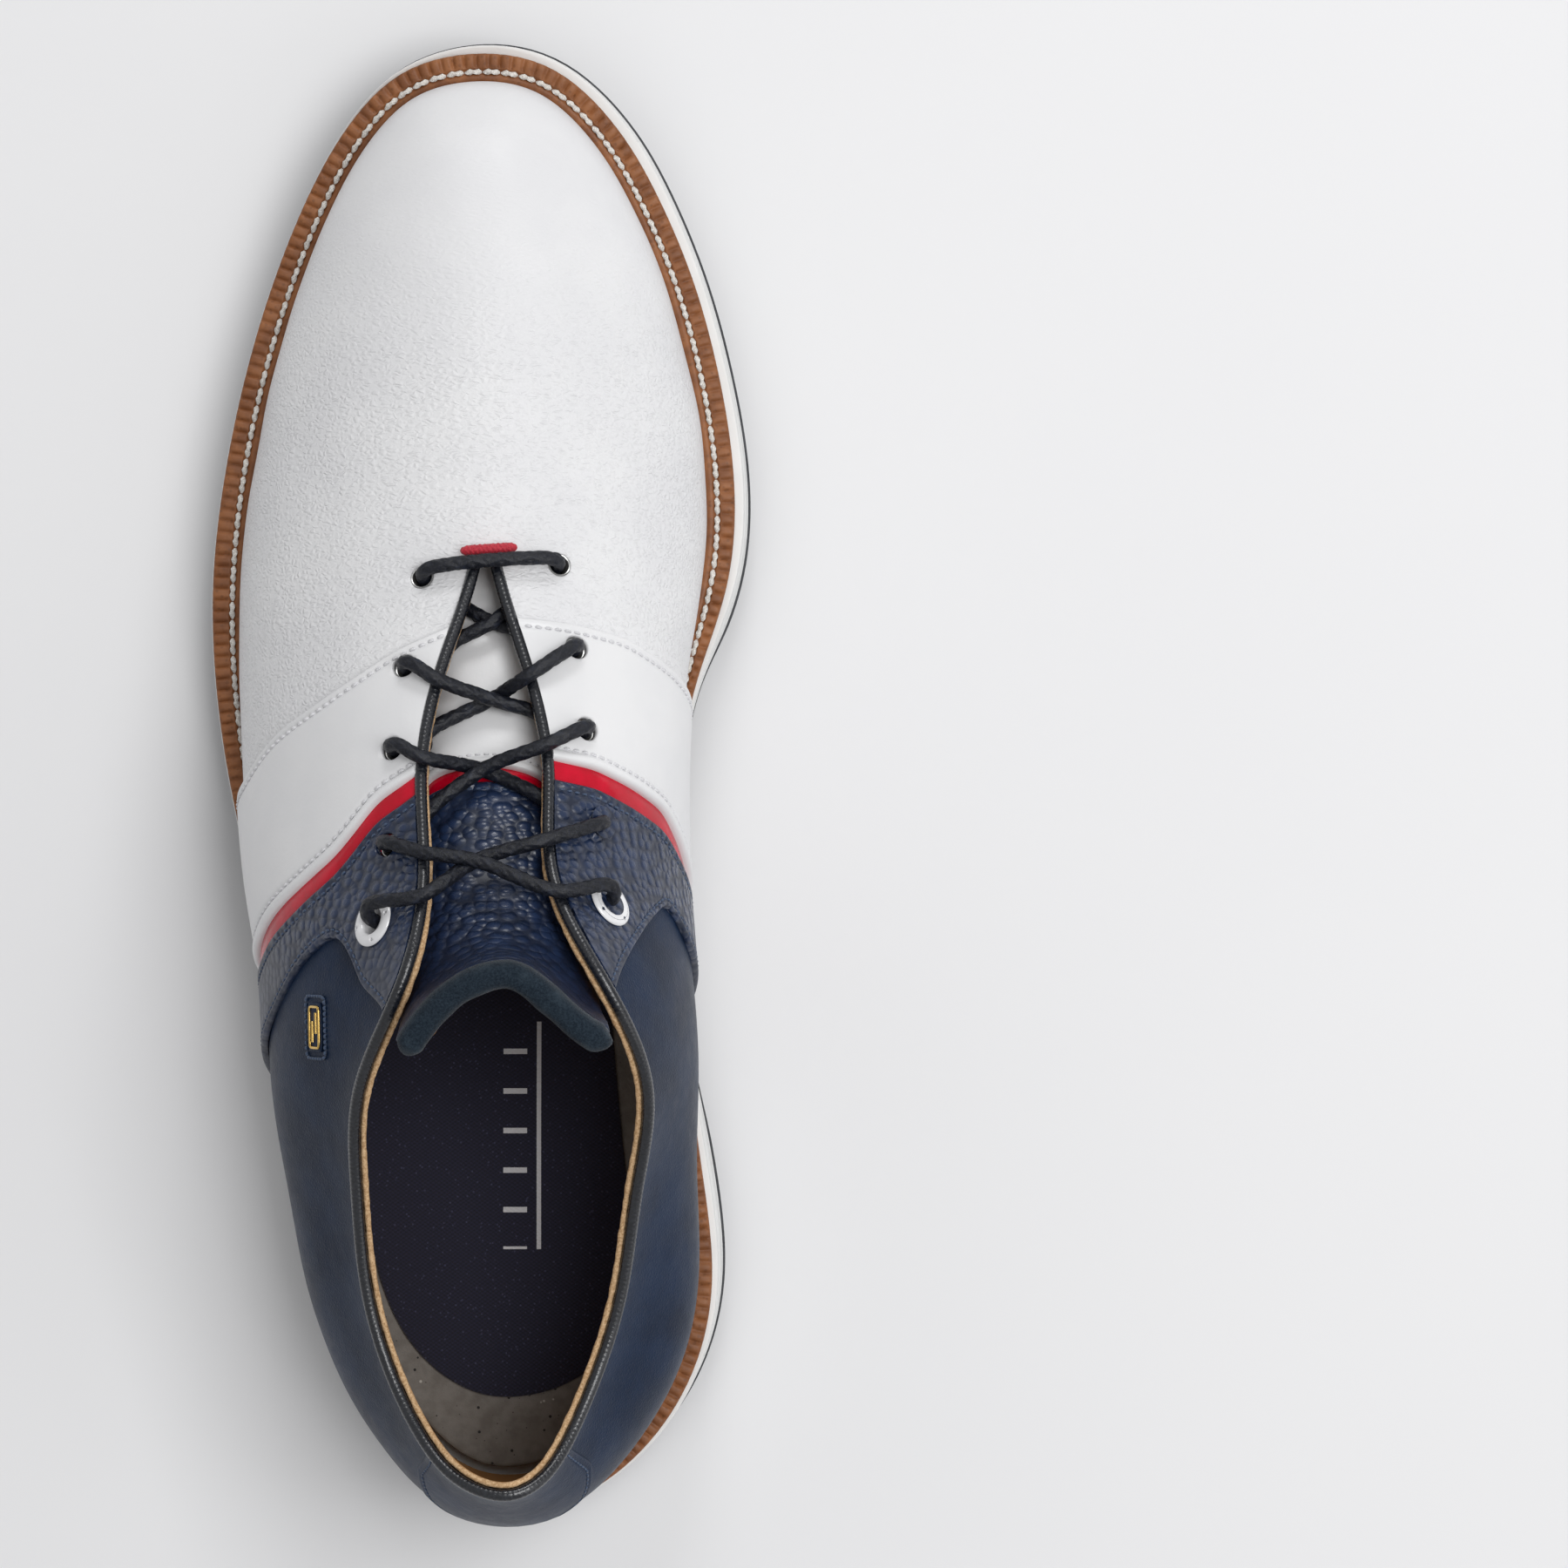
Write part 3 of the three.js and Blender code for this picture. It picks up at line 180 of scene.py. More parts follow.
SIDES = {"lateral": 1, "medial": -1}


def along_side(side, k):
    """u for k stations back from the toe tip on a side."""
    return SIDES[side] * np.asarray(k, float) % STATIONS


def station_for_y(side, y, v):
    y, v = np.broadcast_arrays(np.asarray(y, float), np.asarray(v, float))
    low, high = np.full(y.shape, 3.5), np.full(y.shape, 15.0)
    for _ in range(SEARCH_STEPS):
        middle = (low + high) / 2
        ahead = on_last(along_side(side, middle), v)[..., 1] < y
        low, high = np.where(ahead, middle, low), np.where(ahead, high, middle)
    return (low + high) / 2


def last_over(side, x, y):
    """(u, v) of the place on the upper half of the last over a point of the plan."""
    low, high = 0.3, 1.0
    for _ in range(SEARCH_STEPS):
        v = (low + high) / 2
        here = on_last(along_side(side, station_for_y(side, y, v)), v)
        if SIDES[side] * here[0] > SIDES[side] * x:
            low = v
        else:
            high = v
    return along_side(side, station_for_y(side, y, v)), v


# Seams as (height v, y): each is met at every height of the last.
SADDLE_FRONT = {
    "lateral": [[0, 10], [0.3, 0.6], [0.46, -7.9], [0.62, -14], [0.76, -20], [0.85, -24.3], [1, -29.3]],
    "medial": [
        [0, -8], [0.33, -18.1], [0.45, -21.6], [0.57, -24.7], [0.65, -27.1], [0.84, -29.6], [1, -30.8],
    ],
}
SADDLE_REAR = {
    "lateral": [[0, 45], [0.3, 33.6], [0.42, 27.8], [0.54, 22.5], [0.67, 16.2], [0.83, 5.5], [1, -0.3]],
    "medial": [[0, 34], [0.3, 18.9], [0.5, 7.3], [0.66, 2.8], [0.82, -0.9], [1, -2.8]],
}
EYESTAY_REAR = {
    "lateral": [
        [0, 68], [0.36, 49.7], [0.45, 43.2], [0.53, 37.3], [0.63, 32.4], [0.68, 31], [0.72, 34],
        [0.8, 40.9], [1, 46],
    ],
    "medial": [
        [0, 56], [0.3, 38.6], [0.41, 32.6], [0.46, 28.4], [0.52, 25.4], [0.65, 29.5], [0.82, 35.8], [1, 42],
    ],
}
LACE_HOLES = {
    "lateral": [[8.3, -39], [10.9, -20.9], [12.7, -4.8], [13.3, 13.8], [15, 28.7]],
    "medial": [[-18.8, -41.5], [-21.9, -24.6], [-24, -8.6], [-26.5, 9.7], [-28.3, 25.4]],
}
TOP_HOLE = 4


def smooth_line(points, t):
    """y of a seam at heights t: its points joined by a smooth line."""
    x, y = np.array(points, float).T
    dense = np.linspace(0, 1, 201)
    line = np.interp(dense, x, y)
    for _ in range(60):
        line[1:-1] = (line[:-2] + 2 * line[1:-1] + line[2:]) / 4
    return np.interp(t, dense, line)


def seam(side, points, v, shift=0.0):
    return station_for_y(side, smooth_line(points[side], v) + shift, v)


# ---- Meshes ----


def new_piece(name, made, look, body="shoe", extra=False, merge=1e-4, smooth=60):
    """A piece of (points, faces) in millimetres that rides on a body.

    It stands for the CAD node of its own name, unless it is an extra."""
    mesh = bpy.data.meshes.new(name)
    mesh.from_pydata((np.asarray(made[0], float).reshape(-1, 3) * MM).tolist(), [], made[1])
    tidy = bmesh.new()
    tidy.from_mesh(mesh)
    if merge:
        bmesh.ops.remove_doubles(tidy, verts=tidy.verts, dist=merge * MM)
    bmesh.ops.recalc_face_normals(tidy, faces=tidy.faces)
    tidy.to_mesh(mesh)
    tidy.free()
    piece = bpy.data.objects.new(name, mesh)
    bpy.context.scene.collection.objects.link(piece)
    material, usual_slot = LOOKS[look]
    mesh.materials.append(material)
    mesh.shade_smooth()
    if smooth < 180:
        mesh.set_sharp_from_angle(angle=math.radians(smooth))
    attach(piece, body)
    if not extra:
        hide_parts(name)
    return piece


def grid_faces(rows, columns, closed_rows=False, closed_columns=False):
    """Quads of a rows by columns grid of points."""
    a = np.arange(rows if closed_rows else rows - 1)[:, None]
    b = np.arange(columns if closed_columns else columns - 1)[None, :]
    a2, b2 = (a + 1) % rows, (b + 1) % columns
    quads = np.stack([a * columns + b, a2 * columns + b, a2 * columns + b2, a * columns + b2], -1)
    return quads.reshape(-1, 4).tolist()


def tube_faces(rings, sides):
    """Faces of a tube of rings of points, with a cap on each end."""
    ends = [list(range(sides))[::-1], list(range((rings - 1) * sides, rings * sides))]
    return grid_faces(rings, sides, closed_columns=True) + ends


def circle(sides):
    return 2 * np.pi * np.arange(sides) / sides


def sweep(points, radius, sides, closed=False):
    """(points, faces) of a tube on a line; radius is a number, or an array by points and sides."""
    points = np.asarray(points, float)
    n = len(points)
    tangents = np.roll(points, -1, 0) - np.roll(points, 1, 0) if closed else np.gradient(points, axis=0)
    tangents = unit(tangents)
    side = unit(np.cross(tangents[0], [0.2, 0.3, 1.0]))
    across = []
    for t in tangents:
        side = unit(side - t * (side @ t))
        across.append(side)
    across = np.array(across)
    gap = 0.0
    if closed:  # the frame's closing turn, which is spread over the whole loop
        gap = math.atan2(across[-1] @ np.cross(tangents[0], across[0]), across[-1] @ across[0])
    up = np.cross(tangents, across)
    angles = circle(sides) + (-gap * np.arange(n) / n)[:, None]
    ring = across[:, None] * np.cos(angles)[..., None] + up[:, None] * np.sin(angles)[..., None]
    radius = np.broadcast_to(np.asarray(radius, float), (n, sides))
    made = points[:, None] + ring * radius[..., None]
    faces = grid_faces(n, sides, closed_rows=True, closed_columns=True) if closed else tube_faces(n, sides)
    return made.reshape(-1, 3), faces


def lengths_along(points):
    steps = np.linalg.norm(np.diff(points, axis=0), axis=-1)
    return np.concatenate([np.zeros((1,) + steps.shape[1:]), np.cumsum(steps, 0)])


def interpolate(at, s, values):
    """Rows of values at distances, where values are known at distances s."""
    return np.stack([np.interp(at, s, values[:, c]) for c in range(values.shape[1])], -1)


def resample(points, step):
    s = lengths_along(points)
    count = max(2, int(round(s[-1] / step)) + 1)
    return interpolate(np.linspace(0, s[-1], count), s, points)


def catmull_rom(points, per_span):
    """A centripetal Catmull-Rom line through the points."""
    p = np.asarray(points, float)
    p = np.concatenate([[2 * p[0] - p[1]], p, [2 * p[-1] - p[-2]]])
    out = []
    for i in range(1, len(p) - 2):
        q = p[i - 1 : i + 3]
        knots = np.concatenate([[0], np.cumsum(np.linalg.norm(np.diff(q, axis=0), axis=1) ** 0.5)])
        t = np.linspace(knots[1], knots[2], per_span, endpoint=False)[:, None]

        def between(a, b, low, high):
            return ((knots[high] - t) * a + (t - knots[low]) * b) / (knots[high] - knots[low])

        first = [between(q[n], q[n + 1], n, n + 1) for n in range(3)]
        second = [between(first[n], first[n + 1], n, n + 2) for n in range(2)]
        out.append(between(*second, 1, 2))
    return np.concatenate([*out, p[-2:-1]])


def ripple(points, size, seed):
    """A smooth random field, about -1 to 1, with bumps of a size in millimetres."""
    random = np.random.default_rng(seed)
    total = 0
    for _ in range(7):
        wave = random.normal(size=3)
        wave *= 2 * np.pi / (size * random.uniform(0.7, 1.5) * np.linalg.norm(wave))
        total = total + np.sin(points @ wave + random.uniform(0, 2 * np.pi))
    return total / 7**0.5 / 1.4


def lathe(profile, sides, centre, normal):
    """(points, faces) of a closed profile of (radius, height) turned about a normal."""
    normal = unit(np.asarray(normal, float))
    across = unit(np.cross(normal, [0.0, 1.0, 0.02]))
    up = np.cross(normal, across)
    a = circle(sides)
    ring = across * np.cos(a)[:, None] + up * np.sin(a)[:, None]
    r, h = np.array(profile, float).T
    made = np.asarray(centre) + ring[:, None] * r[None, :, None] + normal * h[None, :, None]
    return made.reshape(-1, 3), grid_faces(sides, len(profile), closed_rows=True, closed_columns=True)


def gather(parts):
    """Several (points, faces) as one."""
    points, faces, first = [], [], 0
    for p, f in parts:
        points.append(p)
        faces += [[n + first for n in face] for face in f]
        first += len(p)
    return np.concatenate(points), faces


def rounded_ring(width, height, sides, power):
    """x and y of a rounded rectangle, squarer for a smaller power."""
    c, s = np.cos(circle(sides)), np.sin(circle(sides))
    return [np.sign(v) * np.abs(v) ** power * size / 2 for v, size in ((c, width), (s, height))]

# ---- Materials ----


class Look:
    """A Principled material whose patterns are made in millimetres of the row frame."""

    def __init__(self, name, **values):
        self.material = bpy.data.materials.new(name)
        self.material.use_nodes = True
        self.tree = self.material.node_tree
        self.shader = self.tree.nodes["Principled BSDF"]
        self.set(self.shader, {key.replace("_", " "): value for key, value in values.items()})
        self.mm = self.vector("SCALE", self.node("TexCoord").outputs["Object"], scale=1 / MM)
        self.normal = None

    def set(self, node, values):
        """Sets a node's inputs, or links those whose value is another node's output."""
        for key, value in values.items():
            if isinstance(value, bpy.types.NodeSocket):
                self.tree.links.new(value, node.inputs[key])
            else:
                node.inputs[key].default_value = value

    def node(self, kind, inputs=None, **settings):
        made = self.tree.nodes.new("ShaderNode" + kind)
        for key, value in settings.items():
            setattr(made, key, value)
        self.set(made, inputs or {})
        return made

    def vector(self, operation, a, b=None, scale=None):
        inputs = {0: a, 1: b, "Scale": scale}
        inputs = {key: value for key, value in inputs.items() if value is not None}
        return self.node("VectorMath", inputs, operation=operation).outputs["Vector"]

    def maths(self, operation, *values):
        return self.node("Math", dict(enumerate(values)), operation=operation).outputs[0]

    def axis(self, name):
        return self.node("SeparateXYZ", {"Vector": self.mm}).outputs[name]

    def ramp(self, value, low, high):
        """0 below low and 1 above high, smooth between."""
        limits = {"Value": value, "From Min": low, "From Max": high}
        return self.node("MapRange", limits, interpolation_type="SMOOTHSTEP").outputs["Result"]

    def noise(self, size, detail=3.0, stretch=None, roughness=0.55, distortion=0.0):
        """Noise of bumps about a size across."""
        where = self.mm if stretch is None else self.vector("MULTIPLY", self.mm, stretch)
        form = {"Scale": 1 / size, "Detail": detail, "Roughness": roughness, "Distortion": distortion}
        return self.node("TexNoise", {"Vector": where, **form}).outputs["Fac"]

    def bent(self, amount, size):
        """The coordinates pushed about by noise, so that cells lose their straight edges."""
        push = self.node("TexNoise", {"Vector": self.mm, "Scale": 1 / size, "Detail": 2.0}).outputs["Color"]
        return self.vector("ADD", self.mm, self.vector("SCALE", push, scale=amount))

    def voronoi(self, size, where, randomness=1.0, **settings):
        form = {"Vector": where, "Scale": 1 / size, "Randomness": randomness}
        return self.node("TexVoronoi", form, **settings).outputs["Distance"]

    def cells(self, size, edge, where, randomness=1.0):
        """Rounded cells: 0 in the creases between them, 1 on top."""
        return self.ramp(self.voronoi(size, where, randomness, feature="DISTANCE_TO_EDGE"), 0.0, edge)

    def pebbles(self, size, where, randomness):
        """Round pebbles with soft valleys between them, 0 to 1."""
        low = self.ramp(self.voronoi(size, where, randomness), 0.0, 0.76)
        return self.maths("SUBTRACT", 1.0, self.maths("POWER", low, 2.1))

    def specks(self, size, radius, shift=0.0):
        """Round dots scattered one to a cell, 1 inside them."""
        where = self.vector("ADD", self.mm, (shift, shift, shift))
        return self.maths("SUBTRACT", 1.0, self.ramp(self.voronoi(size, where), radius * 0.7, radius))

    def part(self, value, share):
        return self.maths("MULTIPLY", value, share)

    def colour(self, factor, a, b):
        """Colours the surface from a, a colour or a socket, to the colour b."""
        mixed = self.node("Mix", data_type="RGBA")
        a = a if isinstance(a, bpy.types.NodeSocket) else (*a, 1)
        self.set(mixed, {0: factor, 6: a, 7: (*b, 1)})
        self.set(self.shader, {"Base Color": mixed.outputs[2]})

    def tint(self, factor, b):
        """Mixes colour b over what is there."""
        self.colour(factor, self.shader.inputs["Base Color"].links[0].from_socket, b)

    def mottle(self, size, detail, a, b, low=0.3, high=0.7):
        """Colours from a to b in soft patches."""
        self.colour(self.ramp(self.noise(size, detail), low, high), a, b)

    def rough(self, value, low, high):
        self.set(self.shader, {"Roughness": self.maths("MULTIPLY_ADD", value, high - low, low)})

    def gloss(self, size, detail, low, high):
        """Roughness from low to high in soft patches."""
        self.rough(self.noise(size, detail), low, high)

    def bump(self, height, depth):
        """Raises the surface by height (0 to 1) times depth in millimetres, on top of the bumps so far."""
        made = self.node("Bump", {"Height": height, "Distance": depth * MM, "Strength": 1.0})
        if self.normal is not None:
            self.set(made, {"Normal": self.normal})
        self.normal = made.outputs["Normal"]
        self.set(self.shader, {"Normal": self.normal})

    def grain(self, size, depth, detail=2, roughness=0.55):
        self.bump(self.noise(size, detail, roughness=roughness), depth)


def white_vamp():
    """Tumbled leather, with wrinkles across the shoe that fade out on the toe."""
    look = Look("white_tumbled_leather", Specular_IOR_Level=0.4)
    long_ways = look.vector("MULTIPLY", look.bent(1.4, 2.2), (0.55, 1.35, 1.0))
    fine = look.cells(1.25, 0.42, long_ways)
    wrinkle = look.noise(1.5, 5, stretch=(0.5, 1.4, 1.0), distortion=0.6, roughness=0.6)
    tumbled = look.maths("MULTIPLY_ADD", look.ramp(look.axis("Y"), -122, -72), 0.88, 0.12)
    look.mottle(22, 3, (0.71, 0.71, 0.725), (0.75, 0.75, 0.76))
    look.gloss(4, 3, 0.36, 0.5)
    look.bump(look.maths("MULTIPLY", look.maths("ADD", fine, wrinkle), tumbled), 0.14)
    look.grain(0.4, 0.012)
    return look.material


def white_saddle():
    look = Look("white_smooth_leather", Specular_IOR_Level=0.5)
    look.mottle(18, 3, (0.725, 0.727, 0.74), (0.76, 0.76, 0.768))
    look.gloss(5, 3, 0.3, 0.42)
    look.grain(0.9, 0.035, detail=4, roughness=0.6)
    look.grain(9, 0.12)
    return look.material


def pebbled_navy():
    """Leather with round pebbles that are pressed flat towards the tongue's top; its colour is painted shade
    in the creases and painted light on the tops.
    """
    look = Look("pebbled_navy_leather", Specular_IOR_Level=0.6)
    where = look.vector("MULTIPLY", look.bent(0.35, 2.6), (0.8, 1.1, 0.95))
    pressed = look.maths("MULTIPLY_ADD", look.ramp(look.axis("Y"), 42, 26), 0.72, 0.28)
    pebbles = look.maths("MULTIPLY", look.pebbles(2.1, where, 0.65), pressed)
    # Painted shade and light: the colour follows the pebbles' height, darker in the creases and lighter on
    # the tops, and stays dark where they are pressed flat.
    look.colour(pebbles, (0.007, 0.013, 0.033), (0.015, 0.029, 0.074))
    look.tint(look.part(look.ramp(look.noise(7), 0.45, 0.8), 0.5), (0.026, 0.047, 0.115))
    look.rough(pebbles, 0.42, 0.25)
    look.bump(pebbles, 0.42)
    look.grain(0.4, 0.02)
    return look.material


def smooth_navy():
    look = Look("smooth_navy_leather", Specular_IOR_Level=0.09)
    look.mottle(16, 5, (0.0055, 0.013, 0.033), (0.009, 0.0225, 0.057), high=0.72)
    look.gloss(3, 4, 0.3, 0.46)
    look.bump(look.cells(0.75, 0.35, look.bent(0.8, 1.2)), 0.03)
    look.grain(0.3, 0.012)
    look.grain(11, 0.22)
    return look.material


def red_patent():
    look = Look("red_patent_leather", Specular_IOR_Level=0.3, Coat_Weight=0.2, Coat_Roughness=0.06)
    look.mottle(6, 3, (0.46, 0.0, 0.014), (0.58, 0.001, 0.022))
    look.gloss(2, 3, 0.12, 0.24)
    look.grain(2.6, 0.05)
    return look.material


def black_bead():
    look = Look("black_rolled_leather", Specular_IOR_Level=0.6, Coat_Weight=0.3, Coat_Roughness=0.12)
    creases = look.noise(0.55, distortion=0.4)
    # Painted shade: the colour is darker where the creases sink and lighter on the raised folds.
    look.colour(look.ramp(creases, 0.35, 0.7), (0.004, 0.005, 0.008), (0.013, 0.015, 0.021))
    look.gloss(1.2, 3, 0.18, 0.38)
    look.bump(creases, 0.09)
    return look.material


def tan_lining():
    """Lining leather, with painted shade that makes it darker deep in the shoe."""
    look = Look("tan_lining_leather", Specular_IOR_Level=0.3)
    look.mottle(9, 5, (0.38, 0.19, 0.07), (0.56, 0.31, 0.13), high=0.72)
    # Painted shade: the lining is tinted darker lower down, where the inside of the shoe lies in shade.
    look.tint(look.part(look.ramp(look.axis("Z"), 55, 34), 0.45), (0.26, 0.12, 0.045))
    look.gloss(2, 3, 0.52, 0.74)
    look.grain(0.7, 0.05, detail=4)
    look.grain(7, 0.25)
    return look.material


def raw_edge():
    look = Look("raw_leather_edge", Roughness=0.85)
    fibres = look.noise(0.5, 4, roughness=0.7)
    look.colour(look.ramp(fibres, 0.3, 0.7), (0.36, 0.2, 0.085), (0.72, 0.5, 0.29))
    look.bump(fibres, 0.18)
    return look.material


def brown_welt():
    look = Look("brown_welt_leather", Specular_IOR_Level=0.4)
    look.mottle(5, 5, (0.175, 0.06, 0.019), (0.3, 0.115, 0.04), high=0.72)
    look.tint(look.part(look.specks(1.3, 0.3), 0.35), (0.1, 0.035, 0.012))
    look.gloss(1.5, 3, 0.38, 0.6)
    look.grain(0.5, 0.07, detail=4, roughness=0.65)
    return look.material


def white_sole():
    look = Look("white_midsole_rubber")
    look.mottle(6, 4, (0.755, 0.755, 0.745), (0.785, 0.785, 0.775))
    look.gloss(1.5, 3, 0.42, 0.58)
    look.grain(0.5, 0.04)
    return look.material


def charcoal_rubber():
    look = Look("charcoal_sole_rubber")
    look.mottle(5, 4, (0.022, 0.024, 0.028), (0.042, 0.044, 0.05))
    look.gloss(1, 3, 0.5, 0.7)
    look.bump(look.cells(0.9, 0.3, look.mm, 0.85), 0.05)
    return look.material


def grey_foam():
    """Pressed foam with dark and pale crumbs in it."""
    look = Look("speckled_grey_foam", Roughness=0.88, Specular_IOR_Level=0.25)
    look.mottle(3, 4, (0.15, 0.137, 0.122), (0.2, 0.185, 0.168))
    look.tint(look.specks(2.9, 0.12, 3.0), (0.025, 0.024, 0.024))
    look.tint(look.specks(1.7, 0.09, 11.0), (0.05, 0.047, 0.044))
    look.tint(look.specks(3.4, 0.1, 23.0), (0.42, 0.4, 0.36))
    look.grain(0.6, 0.12, detail=4, roughness=0.7)
    return look.material


def dark_cloth():
    """Knitted cloth with a plain printed motif: a long bar with short bars beside it."""
    look = Look("dark_knit_cloth", Roughness=0.9, Sheen_Weight=0.25, Sheen_Roughness=0.5)
    x, y = look.axis("X"), look.axis("Y")

    def wave(value, pitch):
        return look.maths("SINE", look.maths("MULTIPLY", value, 2 * math.pi / pitch))

    def stripe(value, middle, half):
        return look.maths("LESS_THAN", look.maths("ABSOLUTE", look.maths("SUBTRACT", value, middle)), half)

    knit = look.maths("MULTIPLY_ADD", look.maths("MULTIPLY", wave(x, 1.1), wave(y, 0.8)), 0.5, 0.5)
    look.colour(knit, (0.004, 0.004, 0.011), (0.013, 0.013, 0.036))
    look.tint(look.part(look.specks(1.2, 0.2, 5.0), 0.6), (0.05, 0.052, 0.1))
    printed = stripe(y, 73, 23)
    long_bar = look.maths("MULTIPLY", stripe(x, -13.4, 0.45), printed)
    rungs = look.maths("LESS_THAN", look.maths("PINGPONG", y, 4.0), 0.55)
    short_bars = look.maths("MULTIPLY", look.maths("MULTIPLY", rungs, stripe(x, -8.6, 2.4)), printed)
    look.tint(look.part(look.maths("MAXIMUM", long_bar, short_bars), 0.9), (0.62, 0.62, 0.64))
    look.bump(knit, 0.1)
    look.grain(0.5, 0.05, detail=3)
    return look.material


def navy_suede():
    look = Look(
        "navy_suede", Roughness=0.92, Specular_IOR_Level=0.1, Sheen_Weight=0.12, Sheen_Roughness=0.4
    )
    nap = look.noise(0.45, 5, roughness=0.75)
    look.colour(look.ramp(nap, 0.3, 0.72), (0.006, 0.011, 0.018), (0.024, 0.036, 0.05))
    look.tint(look.part(look.ramp(look.noise(5), 0.5, 0.75), 0.4), (0.045, 0.064, 0.082))
    look.bump(nap, 0.16)
    look.grain(3, 0.2)
    return look.material


def lace_cord():
    look = Look("waxed_lace", Specular_IOR_Level=0.42)
    yarn = look.noise(0.3, roughness=0.6)
    look.colour(look.ramp(yarn, 0.35, 0.68), (0.002, 0.003, 0.005), (0.01, 0.012, 0.022))
    look.tint(look.part(look.ramp(look.noise(3, 2), 0.55, 0.8), 0.5), (0.022, 0.03, 0.055))
    look.rough(yarn, 0.3, 0.6)
    look.bump(yarn, 0.12)
    return look.material


def thread(name, colour, dark):
    look = Look(name, Roughness=0.65, Sheen_Weight=0.2)
    yarn = look.noise(0.22)
    look.colour(look.ramp(yarn, 0.3, 0.65), dark, colour)
    look.bump(yarn, 0.06)
    return look.material


def plain(name, colour, shade, roughness, size=3.0, depth=0.02, **values):
    """A moulded, painted or metal surface with slight variation of colour, gloss and level."""
    look = Look(name, **values)
    look.mottle(size, 4, shade, colour)
    look.gloss(size / 2, 3, max(0.05, roughness - 0.08), roughness + 0.08)
    look.grain(size / 5, depth, detail=3)
    return look.material


# Each look: its material, and the name of the slot that is listed for its pieces as a rule.
LOOKS = {
    "vamp": (white_vamp(), "white_leather"),
    "saddle": (white_saddle(), "white_leather"),
    "pebbled": (pebbled_navy(), "pebbled_navy"),
    "navy": (smooth_navy(), "smooth_navy"),
    "red": (red_patent(), "red_patent"),
    "bead": (black_bead(), "black_bead"),
    "lining": (tan_lining(), "tan_leather"),
    "raw": (raw_edge(), "tan_leather"),
    "welt": (brown_welt(), "brown_welt"),
    "midsole": (white_sole(), "white_sole"),
    "rubber": (charcoal_rubber(), "charcoal_rubber"),
    "foam": (grey_foam(), "grey_foam"),
    "cloth": (dark_cloth(), "dark_cloth"),
    "suede": (navy_suede(), "navy_suede"),
    "lace": (lace_cord(), "lace_cord"),
    "white_thread": (thread("white_thread", (0.72, 0.72, 0.74), (0.5, 0.5, 0.52)), "white_leather"),
    "navy_thread": (thread("navy_thread", (0.05, 0.085, 0.16), (0.02, 0.035, 0.07)), "pebbled_navy"),
    "welt_thread": (thread("welt_thread", (0.82, 0.8, 0.76), (0.45, 0.41, 0.36)), "brown_welt"),
    "red_thread": (thread("red_thread", (0.55, 0.02, 0.04), (0.28, 0.0, 0.015)), "red_thread"),
    "enamel": (
        plain("white_enamel", (0.80, 0.80, 0.81), (0.74, 0.74, 0.755), 0.2, depth=0.01, Coat_Weight=0.6),
        "white_enamel",
    ),
    "steel": (
        plain("eyelet_steel", (0.62, 0.62, 0.61), (0.5, 0.5, 0.49), 0.34, Metallic=0.85),
        "eyelet_steel",
    ),
    "gold": (plain("gold_plate", (0.72, 0.5, 0.17), (0.6, 0.38, 0.1), 0.24, Metallic=1.0), "gold_badge"),
    "aglet": (plain("aglet_plastic", (0.015, 0.017, 0.022), (0.01, 0.011, 0.014), 0.2), "aglet_plastic"),
    "cleat": (
        plain("cleat_plastic", (0.62, 0.62, 0.63), (0.54, 0.54, 0.55), 0.42, depth=0.05),
        "cleat_plastic",
    ),
    "board": (plain("fibre_board", (0.42, 0.36, 0.27), (0.3, 0.25, 0.18), 0.85, depth=0.1), None),
    "cork": (plain("cork", (0.36, 0.22, 0.11), (0.22, 0.12, 0.05), 0.9, depth=0.15), None),
    "stiff": (plain("stiffener", (0.55, 0.52, 0.45), (0.45, 0.42, 0.36), 0.8, depth=0.08), None),
}


# ---- Lace ----

